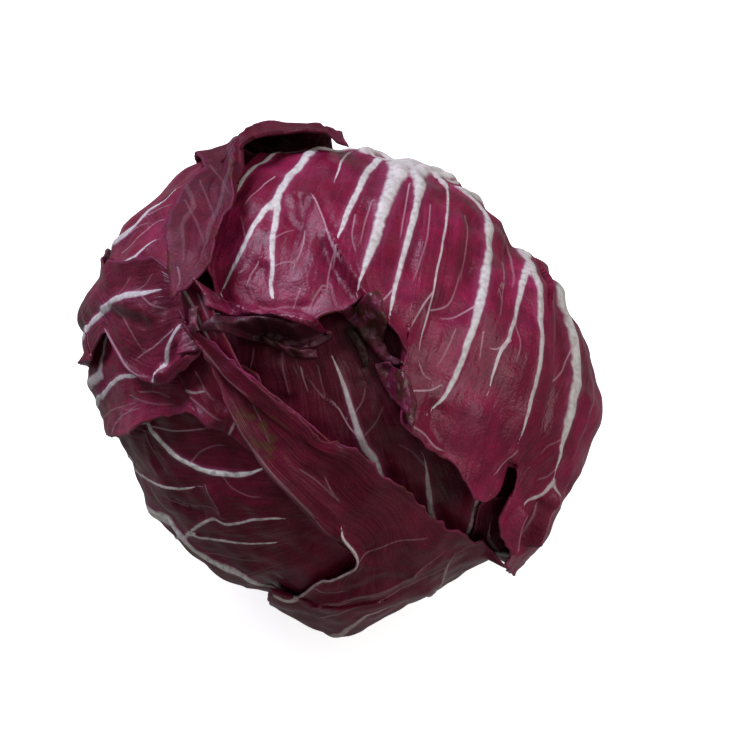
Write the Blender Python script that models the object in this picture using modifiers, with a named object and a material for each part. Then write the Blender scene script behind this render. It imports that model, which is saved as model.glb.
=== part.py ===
"""A head of round red radicchio, standing on the cut face of its stem.

The head is built as it grew: a stem, a tight heart, and the loose outer leaves wrapped
round it one over another. Blender units are metres, +Z is up, and the origin is the middle
of the cut face. Directions are given from the middle of the head, as (azimuth, fall): the
azimuth in degrees round +Z from +X, and the fall in degrees down from the crown, so that
the crown is at 0 and the stem at 180.
"""

import math
from collections import namedtuple

import bmesh
import bpy
import numpy as np
from mathutils import Vector
from mathutils.bvhtree import BVHTree

# The head: its middle above the cut face, and how far it reaches along its longest
# direction, across that, and upwards. Its underside is a little flatter.
MIDDLE = np.array((0.0, 0.0, 0.0532))
HEAD_LONG = 0.0632
HEAD_SHORT = 0.0568
HEAD_UP = 0.0560
LONG_AZIMUTH = -45.0
FLATTER_BELOW = 0.045

# The stem and the heart. The heart is a share of the head's form, and its leaves' rims
# are steps that wind round it.
STEM_RADIUS = 0.0122
STEM_TOP = 0.0150
STEM_TAPER = 0.92
STEM_EDGE = 0.0006
HEART_SHARE = 0.800
HEART_TURNS = 3
HEART_RISE = 1.2
HEART_STEP = 0.0016
TOUCHING = 0.0003

# The outer leaves: where they start by the stem, how thick their blades are and the clear
# space under each. Then, as shares of the way from the stem to the rim, where a leaf leaves
# its foot, where it is fully out and where its rim begins, and how the rims wave and are
# toothed.
BASE_FALL = 164.0
BLADE = 0.0008
GAP = 0.0006
FOOT_UNTIL = 0.1
FULL_FROM = 0.5
RIM_START = 0.55
WAVE = 0.0005
WAVES_ACROSS = 2.4
WAVES_ALONG = 9.0
TOOTH = 0.0007
RIB_TAPER = 0.6

# How finely a leaf is divided, and how it settles on what is below it: as a sheet that
# bridges hollows more the tauter it is.
ROWS = 15
COLUMN_PITCH = 0.0075
CLOSEST_COLUMNS = 0.07
PROBES = 4
SETTLING = 60
TAUT = 0.05

# Ribs: how wide and how high above the blade, at the leaf's base.
Rib = namedtuple("Rib", "width height")
BROAD = Rib(0.0042, 0.0013)
FINE = Rib(0.0026, 0.0009)
PLAIN = Rib(0.0, 0.0)

# A bulge of the whole head: its direction, its reach in degrees and its height.
Bulge = namedtuple("Bulge", "azimuth fall reach height")
BULGES = (
    Bulge(164, 78, 22, 0.0048),
    Bulge(157, 82, 8, -0.0044),
    Bulge(183, 90, 7, -0.0022),
    Bulge(200, 90, 10, -0.0030),
    Bulge(134, 74, 8, -0.0024),
    Bulge(48, 58, 22, -0.0020),
    Bulge(31, 78, 12, -0.0026),
    Bulge(76, 70, 8, -0.0018),
    Bulge(354, 82, 20, 0.0036),
    Bulge(270, 104, 9, 0.0050),
    Bulge(303, 107, 9, -0.0036),
    Bulge(294, 94, 14, -0.0105),
    Bulge(314, 90, 10, 0.0046),
)

# A leaf is spanned by its ribs. Each line runs from the stem to the leaf's rim, and the
# first and last lines are its two side edges. lift is how far the rim stands off at the
# end of each line, in millimetres. base and spread are the azimuth and the width, in
# degrees, of the leaf's foot at the stem. shares says how far out the leaf would lie at
# its foot and at its rim if nothing were under it, as shares of the head's form.
Line = namedtuple("Line", "rib lift points")
Leaf = namedtuple("Leaf", "name base spread shares colour lines")

BURGUNDY = "#6B1F40"
WINE = "#5A1A38"
PLUM = "#74294C"

LEAVES = (
    Leaf("leaf_front_inner", 304, 64, (0.820, 0.880), WINE, (
        Line(PLAIN, 0, ((262, 110), (255, 70), (245, 42), (232, 22), (215, 12))),
        Line(BROAD, 0, ((287, 105), (287, 66), (283, 41), (274, 26), (257, 15), (225, 8))),
        Line(FINE, 0, ((298, 105), (294, 58), (298, 41), (303, 26), (318, 12))),
        Line(FINE, 0, ((314, 108), (304, 70), (306, 57), (314, 42), (330, 26))),
        Line(PLAIN, 0, ((346, 116), (336, 84), (330, 60), (336, 44), (350, 34))),
    )),
    Leaf("leaf_left_inner", 214, 40, (0.800, 0.855), BURGUNDY, (
        Line(PLAIN, 0, ((190, 110), (190, 76), (196, 54), (202, 44), (206, 34))),
        Line(FINE, 0, ((203, 110), (202, 76), (206, 54), (211, 43), (217, 36), (224, 28))),
        Line(FINE, 0, ((214, 110), (214, 80), (216, 62), (222, 52), (231, 42), (238, 32))),
        Line(PLAIN, 0, ((234, 110), (234, 84), (238, 66), (244, 52), (250, 42), (256, 34))),
    )),
    Leaf("leaf_right", 18, 44, (0.860, 0.960), BURGUNDY, (
        Line(PLAIN, 0, ((36, 112), (34, 84), (22, 66), (4, 55), (346, 51), (331, 51), (320, 55))),
        Line(FINE, 0, ((26, 112), (23, 86), (14, 68), (0, 61), (344, 59), (328, 60), (315, 62))),
        Line(BROAD, 1, ((16, 112), (14, 88), (8, 70), (354, 69), (338, 66), (325, 69), (309, 68))),
        Line(FINE, 1, ((6, 116), (2, 98), (354, 88), (342, 84), (330, 82), (319, 82), (308, 80))),
        Line(PLAIN, 1, ((358, 136), (346, 126), (336, 118), (326, 110), (318, 102), (309, 92))),
    )),
    Leaf("leaf_over_crown", 66, 52, (0.900, 0.975), PLUM, (
        Line(PLAIN, 0, ((92, 110), (100, 80), (113, 58), (132, 41), (158, 33), (180, 30), (197, 27))),
        Line(FINE, 0, (
            (88, 110), (93, 78), (101, 50), (115, 43),
            (131, 36), (158, 28), (182, 26), (201, 23),
        )),
        Line(BROAD, 0, (
            (83, 108), (85, 74), (89, 43), (106, 32),
            (126, 26), (160, 22), (186, 22), (210, 18),
        )),
        Line(FINE, 0, (
            (79, 108), (80, 74), (85, 42), (100, 30), (122, 23),
            (141, 17), (172, 14), (212, 15), (232, 14),
        )),
        Line(PLAIN, 0, (
            (75, 107), (76, 74), (79, 42), (84, 28), (92, 17),
            (112, 9), (180, 5), (240, 9), (258, 12),
        )),
        Line(FINE, 0, ((71, 106), (71, 72), (70, 36), (70, 20), (84, 8), (60, 2), (280, 5), (272, 9))),
        Line(BROAD, 0, ((66, 106), (66, 70), (63, 36), (54, 20), (30, 9), (340, 6), (322, 9))),
        Line(BROAD, 0, ((60, 106), (59, 68), (53, 38), (38, 22), (5, 14), (331, 13), (316, 19))),
        Line(FINE, 0, ((54, 106), (54, 68), (50, 44), (24, 28), (350, 23), (330, 23), (310, 29))),
        Line(BROAD, 0, ((47, 106), (48, 72), (42, 52), (26, 42), (354, 33), (325, 32), (296, 36))),
        Line(FINE, 0, ((38, 106), (36, 74), (24, 54), (6, 44), (350, 39), (325, 42), (303, 47))),
        Line(BROAD, 0, ((30, 107), (30, 76), (20, 58), (356, 51), (338, 51), (324, 53), (308, 60))),
        Line(PLAIN, 0, ((22, 108), (24, 80), (16, 62), (358, 57), (342, 56), (330, 56), (320, 58))),
    )),
    Leaf("leaf_low_left", 228, 58, (0.870, 0.950), WINE, (
        Line(PLAIN, 0, ((193, 112), (196, 84), (202, 64), (210, 52), (222, 42), (236, 36), (250, 34))),
        Line(BROAD, 0, ((202, 114), (204, 84), (208, 61), (218, 57), (229, 54), (239, 49), (252, 42))),
        Line(BROAD, 0, ((208, 116), (207, 92), (210, 74), (218, 70), (228, 63), (240, 56), (256, 46))),
        Line(FINE, 0, ((216, 118), (215, 96), (222, 80), (233, 73), (240, 65), (249, 60), (261, 52))),
        Line(BROAD, 0, ((222, 122), (220, 100), (226, 84), (240, 82), (254, 82), (266, 76), (274, 64))),
        Line(PLAIN, 0, (
            (256, 134), (262, 120), (268, 110), (275, 101),
            (281, 92), (286, 83), (288, 74),
        )),
    )),
    Leaf("leaf_upper_left", 142, 40, (0.840, 0.980), BURGUNDY, (
        Line(PLAIN, 0, ((118, 110), (122, 82), (130, 62), (140, 52), (150, 45))),
        Line(FINE, 0, ((127, 110), (131, 82), (137, 64), (147, 55), (158, 46))),
        Line(FINE, 0, ((140, 110), (145, 85), (150, 69), (157, 58), (166, 46))),
        Line(PLAIN, 0, ((160, 110), (165, 86), (167, 68), (169, 56), (173, 48))),
    )),
    Leaf("leaf_left_under", 192, 38, (0.880, 0.965), BURGUNDY, (
        Line(PLAIN, 0, ((168, 110), (170, 84), (174, 64), (182, 50), (194, 41), (205, 36))),
        Line(BROAD, 0, ((181, 110), (182, 86), (184, 70), (191, 58), (202, 48), (212, 40))),
        Line(FINE, 0, ((190, 110), (191, 88), (194, 75), (200, 63), (208, 52), (216, 43))),
        Line(PLAIN, 1, ((201, 110), (201, 90), (203, 74), (207, 61), (212, 52), (220, 44))),
    )),
    Leaf("leaf_left", 168, 44, (0.910, 0.975), PLUM, (
        Line(PLAIN, 0, ((146, 110), (151, 84), (157, 68), (161, 54), (163, 45), (168, 38), (174, 33))),
        Line(BROAD, 0, ((165, 110), (168, 86), (170, 64), (172, 51), (173, 41), (179, 33))),
        Line(FINE, 1, ((178, 110), (180, 84), (184, 64), (191, 53), (190, 43), (189, 35))),
        Line(PLAIN, 1, ((187, 108), (186, 84), (184, 65), (191, 57), (200, 51), (204, 42), (203, 36))),
    )),
    Leaf("leaf_diagonal", 280, 44, (0.930, 0.970), BURGUNDY, (
        Line(PLAIN, 0, (
            (258, 122), (257, 100), (261, 82), (269, 64), (262, 52),
            (247, 45), (230, 38), (208, 35), (191, 38), (182, 41),
        )),
        Line(FINE, 0, (
            (268, 120), (269, 100), (274, 80), (277, 62), (270, 48),
            (254, 41), (236, 34), (214, 32), (194, 34), (179, 38),
        )),
        Line(PLAIN, 1, (
            (286, 118), (288, 100), (291, 80), (289, 60), (282, 47),
            (268, 37), (246, 31), (220, 28), (197, 30), (176, 35),
        )),
        Line(PLAIN, 2, (
            (306, 116), (308, 96), (305, 76), (300, 63), (292, 52), (279, 38),
            (262, 35), (240, 29), (222, 26), (197, 27), (174, 32),
        )),
    )),
    Leaf("leaf_over_left", 120, 44, (0.950, 1.000), PLUM, (
        Line(PLAIN, 2.0, ((93, 110), (92, 86), (92, 66), (94, 50))),
        Line(PLAIN, 2.5, ((98, 110), (98, 88), (99, 72), (101, 56))),
        Line(FINE, 3.0, ((108, 110), (110, 88), (112, 70), (117, 53))),
        Line(PLAIN, 2.5, ((116, 110), (118, 86), (120, 66), (124, 51), (128, 39))),
        Line(FINE, 1.5, ((124, 110), (126, 84), (129, 64), (136, 46), (153, 29))),
        Line(PLAIN, 1, ((130, 110), (131, 84), (134, 62), (142, 46), (157, 34), (176, 28))),
        Line(PLAIN, 0.5, (
            (137, 110), (137, 84), (137, 64), (142, 50),
            (155, 41), (170, 36), (183, 33),
        )),
    )),
)


def unit(azimuth, fall):
    """The direction with this azimuth and this fall from the crown."""
    turn = math.radians(azimuth)
    down = math.radians(fall)
    return np.array((math.sin(down) * math.cos(turn), math.sin(down) * math.sin(turn), math.cos(down)))


def normalised(vectors):
    return vectors / np.linalg.norm(vectors, axis=-1, keepdims=True)


def head_radius(directions):
    """How far the wrapped head reaches from its middle: an egg shape with a few bulges."""
    long_axis = unit(LONG_AZIMUTH, 90)
    along = directions @ long_axis
    up = directions[..., 2]
    across = np.sqrt(np.clip(1 - along**2 - up**2, 0, 1))
    radius = 1 / np.sqrt((along / HEAD_LONG) ** 2 + (across / HEAD_SHORT) ** 2 + (up / HEAD_UP) ** 2)
    for bulge in BULGES:
        away = np.degrees(np.arccos(np.clip(directions @ unit(bulge.azimuth, bulge.fall), -1, 1)))
        radius = radius + bulge.height * np.exp(-((away / bulge.reach) ** 2))
    low = np.clip(-up, 0, 1)
    return radius * (1 - FLATTER_BELOW * low**3)


def spline(points, at):
    """Points at the parameters `at` on a smooth curve through `points`, along the first axis."""
    count = len(points)
    padded = np.concatenate((2 * points[:1] - points[1:2], points, 2 * points[-1:] - points[-2:-1]))
    index = np.clip(np.floor(at).astype(int), 0, count - 2)
    part = (at - index).reshape((-1,) + (1,) * (points.ndim - 1))
    before, start, end, after = (padded[index + k] for k in range(4))
    return start + 0.5 * part * (
        end - before
        + part * (2 * before - 5 * start + 4 * end - after + part * (3 * (start - end) + after - before))
    )


def even_steps(points, count):
    """Parameters that divide a curve through `points` into stretches of the same length."""
    fine = np.linspace(0, len(points) - 1, 20 * len(points))
    curve = normalised(spline(points, fine))
    length = np.concatenate(((0,), np.cumsum(np.linalg.norm(np.diff(curve, axis=0), axis=1))))
    return np.interp(np.linspace(0, length[-1], count), length, fine)


def line_directions(leaf):
    """Each line of the leaf, from the stem to the rim, as ROWS directions."""
    sides = np.linspace(-0.5, 0.5, len(leaf.lines))
    first = leaf.lines[0].points[0][0]
    last = leaf.lines[-1].points[0][0]
    turn = 1 if (last - first) % 360 < 180 else -1
    lines = []
    for side, line in zip(sides, leaf.lines):
        start = unit(leaf.base + turn * side * leaf.spread, BASE_FALL)
        points = np.array([start] + [unit(*point) for point in line.points])
        lines.append(normalised(spline(points, even_steps(points, ROWS))))
    return np.array(lines)


def column_places(leaf, lines):
    """Where the columns lie, in lines: three for each rib, and others to fill wide spaces."""
    apart = np.linalg.norm(np.diff(lines, axis=0), axis=2) * HEAD_SHORT
    widest = apart.max(axis=1)
    typical = np.median(apart, axis=1)
    places = []
    for k, line in enumerate(leaf.lines):
        if line.rib.width:
            reach = np.clip(line.rib.width / 2 / typical[[k - 1, k]], 0.12, 0.4)
            places += [(k - reach[0], 0.0), (k, line.rib.height), (k + reach[1], 0.0)]
        else:
            places.append((float(k), 0.0))
        if k < len(leaf.lines) - 1:
            extra = int(widest[k] / COLUMN_PITCH)
            inner = 0.25 if extra else 0.5
            places += [(k + at, 0.0) for at in np.linspace(inner, 1 - inner, extra + 2)[1:-1]]
    places.sort()
    kept = [places[0]]
    for place, height in places[1:]:
        if place - kept[-1][0] > CLOSEST_COLUMNS:
            kept.append((place, height))
    return np.array(kept)


class Wrapped:
    """All that has been built so far, to ask how far it reaches in a direction."""

    def __init__(self):
        self.points = []
        self.faces = []
        self.tree = None

    def add(self, obj):
        evaluated = obj.evaluated_get(bpy.context.evaluated_depsgraph_get())
        mesh = evaluated.to_mesh()
        first = len(self.points)
        self.points += [vertex.co.copy() for vertex in mesh.vertices]
        self.faces += [[first + i for i in face.vertices] for face in mesh.polygons]
        evaluated.to_mesh_clear()
        self.tree = BVHTree.FromPolygons(self.points, self.faces)

    def reach(self, directions):
        """The distance from the middle of the head to the outermost surface, in each direction."""
        flat = directions.reshape(-1, 3)
        found = np.zeros(len(flat))
        middle = Vector(MIDDLE)
        for i, direction in enumerate(flat):
            outward = Vector(direction)
            hit = self.tree.ray_cast(middle + outward * 0.2, -outward)[0]
            found[i] = (hit - middle).length if hit else 0
        return found.reshape(directions.shape[:-1])


def between(grid, times):
    """A grid of directions with each of its cells divided `times` times each way."""
    for axis in (0, 1):
        grid = np.moveaxis(grid, axis, 0)
        at = np.linspace(0, len(grid) - 1, (len(grid) - 1) * times + 1)
        index = np.clip(np.floor(at).astype(int), 0, len(grid) - 2)
        part = (at - index)[:, None, None]
        grid = np.moveaxis(grid[index] * (1 - part) + grid[index + 1] * part, 0, axis)
    return normalised(grid)


def settled(floor, wanted):
    """Radii of a leaf that lies on `floor` as smoothly as a stretched sheet does."""
    radius = np.maximum(floor, wanted)
    for _ in range(SETTLING):
        padded = np.pad(radius, 1, mode="edge")
        mean = (padded[:-2, 1:-1] + padded[2:, 1:-1] + padded[1:-1, :-2] + padded[1:-1, 2:]) / 4
        radius = np.maximum(floor, 0.5 * wanted + 0.5 * mean)
        wanted = np.maximum(wanted, (1 - TAUT) * wanted + TAUT * mean)
    return radius


def floor_under(grid, wrapped):
    """At each point of the grid, the furthest that anything reaches within one cell of it."""
    below = np.pad(wrapped.reach(between(grid, PROBES)), PROBES, mode="edge")
    floor = np.zeros(grid.shape[:2])
    for i in range(floor.shape[0]):
        for j in range(floor.shape[1]):
            first, start = i * PROBES, j * PROBES
            floor[i, j] = below[first : first + 2 * PROBES + 1, start : start + 2 * PROBES + 1].max()
    return floor


def rim_relief(leaf, places):
    """How far the rim stands off: its lift, and the waves along it."""
    along = np.linspace(0, 1, ROWS)
    outer = np.clip((along - RIM_START) / (1 - RIM_START), 0, 1) ** 2
    lift = np.interp(places, range(len(leaf.lines)), [line.lift / 1000 for line in leaf.lines])
    wave = WAVE * (1 + np.sin(WAVES_ACROSS * places[:, None] + WAVES_ALONG * along))
    return (lift[:, None] + wave) * outer


def with_teeth(grid):
    """The grid with every other point of its rim drawn out as a small tooth."""
    last = grid[:, -1] - grid[:, -2]
    reach = TOOTH / HEAD_SHORT / np.linalg.norm(last, axis=1)
    reach[::2] = 0
    toothed = grid.copy()
    toothed[:, -1] = normalised(grid[:, -1] + last * reach[:, None])
    return toothed


def leaf_grid(leaf, wrapped):
    """The leaf's inner face as columns of points, and how high each point's rib stands."""
    lines = line_directions(leaf)
    places, heights = column_places(leaf, lines).T
    grid = with_teeth(normalised(spline(lines, places)))
    along = np.linspace(0, 1, ROWS)
    share = np.interp(along, (FOOT_UNTIL, FULL_FROM), leaf.shares)
    radius = settled(floor_under(grid, wrapped) + GAP, head_radius(grid) * share - BLADE)
    radius = radius + rim_relief(leaf, places)
    return MIDDLE + grid * radius[..., None], heights[:, None] * (1 - RIB_TAPER * along)


def principled(name, colour, roughness):
    """A material with this sRGB colour, turned to linear light."""
    parts = [int(colour[k : k + 2], 16) / 255 for k in (1, 3, 5)]
    linear = [part / 12.92 if part <= 0.04045 else ((part + 0.055) / 1.055) ** 2.4 for part in parts]
    material = bpy.data.materials.new(name)
    material.use_nodes = True
    shader = material.node_tree.nodes["Principled BSDF"]
    shader.inputs["Base Color"].default_value = (*linear, 1)
    shader.inputs["Roughness"].default_value = roughness
    shader.inputs["Metallic"].default_value = 0
    return material


def object_from(built, name, material, collection):
    """An object in the collection from a bmesh, with its material."""
    mesh = bpy.data.meshes.new(name)
    built.to_mesh(mesh)
    built.free()
    mesh.materials.append(material)
    obj = bpy.data.objects.new(name, mesh)
    collection.objects.link(obj)
    return obj


def make_leaf(leaf, wrapped, collection):
    """One leaf: a grid laid over what is below it, triangulated, then given its thickness."""
    points, height = leaf_grid(leaf, wrapped)
    columns, rows = height.shape
    built = bmesh.new()
    bmesh.ops.create_grid(built, x_segments=columns - 1, y_segments=rows - 1, size=1)
    order = []
    for vertex in built.verts:
        i = round((vertex.co.x + 1) / 2 * (columns - 1))
        j = round((vertex.co.y + 1) / 2 * (rows - 1))
        vertex.co = points[i, j]
        order.append((i, j))
    bmesh.ops.triangulate(built, faces=built.faces)
    built.normal_update()
    outward = sum(face.normal.dot(face.calc_center_median() - Vector(MIDDLE)) for face in built.faces)
    if outward < 0:
        bmesh.ops.reverse_faces(built, faces=built.faces)
    obj = object_from(built, leaf.name, principled(leaf.name, leaf.colour, 0.4), collection)
    most = BLADE + BROAD.height
    group = obj.vertex_groups.new(name="thickness")
    for vertex, (i, j) in enumerate(order):
        group.add([vertex], (BLADE + height[i, j]) / most, "REPLACE")
    solidify = obj.modifiers.new("Solidify", "SOLIDIFY")
    solidify.thickness = most
    solidify.offset = 1
    solidify.vertex_group = group.name
    solidify.thickness_vertex_group = 0
    bpy.context.view_layer.update()
    return obj


def make_heart(collection):
    """The tight inner head: a ball of the head's form, with the rims of its leaves as low steps."""
    built = bmesh.new()
    bmesh.ops.create_uvsphere(built, u_segments=40, v_segments=20, radius=1)
    for vertex in built.verts:
        direction = np.array(vertex.co.normalized())
        turn = math.atan2(direction[1], direction[0]) / (2 * math.pi)
        step = (HEART_TURNS * turn + HEART_RISE * direction[2]) % 1
        fade = 1 - abs(direction[2]) ** 4
        radius = head_radius(direction) * HEART_SHARE - HEART_STEP * step * fade
        vertex.co = MIDDLE + direction * radius
        vertex.co.z = max(vertex.co.z, STEM_TOP + TOUCHING)
    obj = object_from(built, "heart", principled("heart", WINE, 0.5), collection)
    obj.data.shade_smooth()
    bpy.context.view_layer.update()
    return obj


def make_stem(collection):
    """The cut stem: a short stub with a soft edge, flat below where the knife went through."""
    built = bmesh.new()
    bmesh.ops.create_cone(
        built,
        cap_ends=True,
        segments=32,
        radius1=STEM_RADIUS,
        radius2=STEM_RADIUS * STEM_TAPER,
        depth=STEM_TOP,
    )
    bmesh.ops.translate(built, verts=built.verts, vec=(0, 0, STEM_TOP / 2))
    obj = object_from(built, "stem", principled("stem", "#C9B79C", 0.7), collection)
    bevel = obj.modifiers.new("Bevel", "BEVEL")
    bevel.width = STEM_EDGE
    bevel.segments = 2
    bpy.context.view_layer.update()
    return obj


def main():
    for obj in list(bpy.data.objects):
        bpy.data.objects.remove(obj)
    collection = bpy.data.collections.new("radicchio")
    bpy.context.scene.collection.children.link(collection)
    wrapped = Wrapped()
    wrapped.add(make_stem(collection))
    wrapped.add(make_heart(collection))
    for leaf in LEAVES:
        wrapped.add(make_leaf(leaf, wrapped, collection))


main()
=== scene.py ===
# %% [markdown]
# # A head of round red radicchio
#
# A round radicchio is a ball of leaves. Thick white ribs fan out over thin burgundy blades,
# the rims are finely toothed, and the loose outer leaves lie over one another like wet cloth.
# This lesson dresses the plain solids of such a head: each outer leaf becomes a fine sheet
# with raised ribs, veins and puckers, coloured by what is at each point of the leaf.
#
# The first cell loads the fixed frame: the solids that the finer pieces must stay with.

# %% Load the frame
import math
from collections import namedtuple

import bpy
import numpy as np
from mathutils import Matrix, Vector
from mathutils.bvhtree import BVHTree


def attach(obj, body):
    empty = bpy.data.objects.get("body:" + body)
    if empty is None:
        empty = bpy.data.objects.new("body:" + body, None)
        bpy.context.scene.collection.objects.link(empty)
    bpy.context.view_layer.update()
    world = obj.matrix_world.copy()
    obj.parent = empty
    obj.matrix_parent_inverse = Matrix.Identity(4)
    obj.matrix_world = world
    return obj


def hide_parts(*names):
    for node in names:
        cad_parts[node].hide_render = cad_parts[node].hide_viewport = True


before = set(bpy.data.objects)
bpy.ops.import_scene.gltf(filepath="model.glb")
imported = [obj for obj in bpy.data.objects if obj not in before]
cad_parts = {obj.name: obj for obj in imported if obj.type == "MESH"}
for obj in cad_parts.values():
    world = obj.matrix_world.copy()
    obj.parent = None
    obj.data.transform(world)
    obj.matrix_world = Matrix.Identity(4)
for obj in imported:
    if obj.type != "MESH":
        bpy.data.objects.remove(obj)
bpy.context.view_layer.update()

MM = 0.001
print("nodes:", ", ".join(sorted(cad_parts)))

# %% [markdown]
# ## The camera
#
# The photograph looks down on the head, a little from the front. The camera comes first,
# because the veins are placed by what the photograph shows: a point of a vein is given as a
# pixel of the photograph, and the camera says which way from the head's middle that is.

# %% The photograph's view
PHOTO_PIXELS = 752
MIDDLE_PIXEL = (340, 379)
MIDDLE = Vector((0, 0, 53.2 * MM))
LENS = 100.0
SENSOR = 36.0
CAMERA_DISTANCE = 0.5
CAMERA_ELEVATION = math.radians(68)

view_right = Vector((1, 0, 0))
view_up = Vector((0, math.sin(CAMERA_ELEVATION), math.cos(CAMERA_ELEVATION)))
view_back = Vector((0, -math.cos(CAMERA_ELEVATION), math.sin(CAMERA_ELEVATION)))
PIXELS_AT_ONE = LENS / SENSOR * PHOTO_PIXELS

aside = (PHOTO_PIXELS / 2 - MIDDLE_PIXEL[0]) / PIXELS_AT_ONE * CAMERA_DISTANCE
above = (MIDDLE_PIXEL[1] - PHOTO_PIXELS / 2) / PIXELS_AT_ONE * CAMERA_DISTANCE
camera_at = MIDDLE + view_back * CAMERA_DISTANCE + view_right * aside + view_up * above

bpy.ops.object.camera_add(location=camera_at)
camera = bpy.context.object
camera.data.lens = LENS
camera.data.sensor_width = SENSOR
turned = Matrix((view_right, view_up, view_back)).transposed().to_4x4()
turned.translation = camera_at
camera.matrix_world = turned
bpy.context.scene.camera = camera
print("the camera stands", round(CAMERA_DISTANCE * 1000), "mm from the middle of the head")

# %% [markdown]
# ## Directions
#
# Every leaf hugs a ball, so its points are easiest to give as directions from the middle of
# the head: an azimuth round the head from +X, and a fall in degrees down from the crown. Where
# the photograph shows a point, its pixel is enough: a ray through that pixel meets the solids.

# %% Directions from angles and from pixels
def solid_tree(*nodes):
    """The surfaces of these solids, for asking where a ray meets them."""
    points, faces = [], []
    for node in nodes:
        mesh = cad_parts[node].data
        first = len(points)
        points += [vertex.co.copy() for vertex in mesh.vertices]
        faces += [[first + i for i in face.vertices] for face in mesh.polygons]
    return BVHTree.FromPolygons(points, faces)


whole_head = solid_tree(*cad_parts)


def towards(azimuth, fall):
    """The direction with this azimuth and this fall from the crown, in degrees."""
    turn, down = math.radians(azimuth), math.radians(fall)
    return np.array((math.sin(down) * math.cos(turn), math.sin(down) * math.sin(turn), math.cos(down)))


def seen_at(x, y, laid=None):
    """The direction of what the photograph shows at this pixel, on the solids or on a laid leaf."""
    across = (x - PHOTO_PIXELS / 2) / PIXELS_AT_ONE
    down = (y - PHOTO_PIXELS / 2) / PIXELS_AT_ONE
    ray = (view_right * across - view_up * down - view_back).normalized()
    passing = (MIDDLE - camera_at).dot(ray)
    beside = camera_at + ray * passing
    hit = whole_head.ray_cast(camera_at, ray)[0]
    if hit is None:
        hit = beside
    direction = np.array((hit - MIDDLE).normalized())
    if laid is None:
        return direction
    for _ in range(8):
        nearer = math.sqrt(max(laid.radius(direction) ** 2 - (beside - MIDDLE).length_squared, 0))
        direction = normalised(direction + np.array((beside - ray * nearer - MIDDLE).normalized()))
    return direction


class Laid:
    """A roughly laid leaf, which says how far out it lies in a direction."""

    def __init__(self, directions, radii):
        self.directions = directions.reshape(-1, 3)
        self.radii = radii.ravel()

    def radius(self, direction):
        nearest = np.argsort(-(self.directions @ direction))[:6]
        return self.radii[nearest].mean()


def normalised(vectors):
    return vectors / np.linalg.norm(vectors, axis=-1, keepdims=True)


# %% [markdown]
# ## Smooth paths
#
# A rib or a rim is a handful of points with a smooth curve through them. The curve is a
# Catmull-Rom spline, stepped off in even lengths, so that a leaf's rows stay evenly apart.

# %% Curves through directions
STEPS_PER_POINT = 24


def spline(points, at):
    """Points at the parameters `at` on a smooth curve through `points`, along the first axis."""
    count = len(points)
    padded = np.concatenate((2 * points[:1] - points[1:2], points, 2 * points[-1:] - points[-2:-1]))
    index = np.clip(np.floor(at).astype(int), 0, count - 2)
    part = (at - index).reshape((-1,) + (1,) * (points.ndim - 1))
    before, start, end, after = (padded[index + k] for k in range(4))
    return start + 0.5 * part * (
        end - before
        + part * (2 * before - 5 * start + 4 * end - after + part * (3 * (start - end) + after - before))
    )


def lengths_along(points):
    steps = np.linalg.norm(np.diff(points, axis=0), axis=-1)
    return np.concatenate(((0.0,), np.cumsum(steps)))


def marks(line, laid=None):
    """A line's points: hidden ones in degrees, then pixels, then perhaps more hidden ones."""
    points = [towards(*point) for point in line.hidden]
    points += [seen_at(*pixel, laid) for pixel in line.seen]
    points += [towards(*point) for point in getattr(line, "after", ())]
    return np.array(points)


def path(count, line, laid=None):
    """`count` directions, evenly along a smooth curve through the line's points."""
    points = marks(line, laid)
    fine = np.linspace(0, len(points) - 1, STEPS_PER_POINT * len(points))
    curve = normalised(spline(points, fine))
    length = lengths_along(curve)
    even = np.interp(np.linspace(0, length[-1], count), length, fine)
    return normalised(spline(points, even))


# %% [markdown]
# ## What a leaf is made of
#
# A leaf is spanned between its two side edges, from its foot at the stem to its rim. Its ribs
# are listed with their width in millimetres at the foot, where they come into sight and at
# their end. A vein is too fine to stand out, so it only has a paleness. A fold is a line where
# the blade steps up on the line's left, or where it stands up or sinks in as a ridge. Teeth
# and lift are given for the rim, the left edge and the right edge, in millimetres.

# %% The parts of a leaf
Edge = namedtuple("Edge", "hidden seen after", defaults=((), (), ()))
Rib = namedtuple("Rib", "foot start end hidden seen pale", defaults=(1.0,))
Vein = namedtuple("Vein", "pale seen hidden", defaults=((),))
Fold = namedtuple("Fold", "step reach ridge width seen pale hidden", defaults=(0.0, ()))
Stain = namedtuple("Stain", "pixel reach")
Leaf = namedtuple(
    "Leaf", "node finish left right rim ribs veins folds stains teeth lift piece skin",
    defaults=((), (), (), (0.8, 0.6, 0.6), (0.6, 0.6, 0.6), None, None),
)

# %% [markdown]
# ## From the solid to a fine sheet
#
# The solid says how far out each leaf lies. Rays from the head's middle meet the inner face of
# the leaf's solid on a coarse grid. What they measure is smoothed, which takes the facets out,
# and a spline brings it to the fine grid.

# %% Read how far out a solid lies
HEAD_RADIUS = 57.0 * MM
FAR = 0.2
COARSE_POINTS = 1500
SMOOTHING = 3


def filled(grid):
    """The grid with each missing number replaced by the mean of its neighbours, step by step."""
    grid = grid.copy()
    while np.isnan(grid).any():
        around = neighbours(grid, constant_values=np.nan)
        known = ~np.isnan(around)
        mean = np.where(known, around, 0).sum(axis=0) / np.maximum(known.sum(axis=0), 1)
        grid = np.where(np.isnan(grid) & known.any(axis=0), mean, grid)
    return grid


def neighbours(grid, **padding):
    """The four neighbours of every number of the grid."""
    padded = np.pad(grid, 1, **(padding or {"mode": "edge"}))
    return np.stack((padded[:-2, 1:-1], padded[2:, 1:-1], padded[1:-1, :-2], padded[1:-1, 2:]))


def blurred(grid, times):
    for _ in range(times):
        grid = (neighbours(grid).sum(axis=0) + 4 * grid) / 8
    return grid


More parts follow.
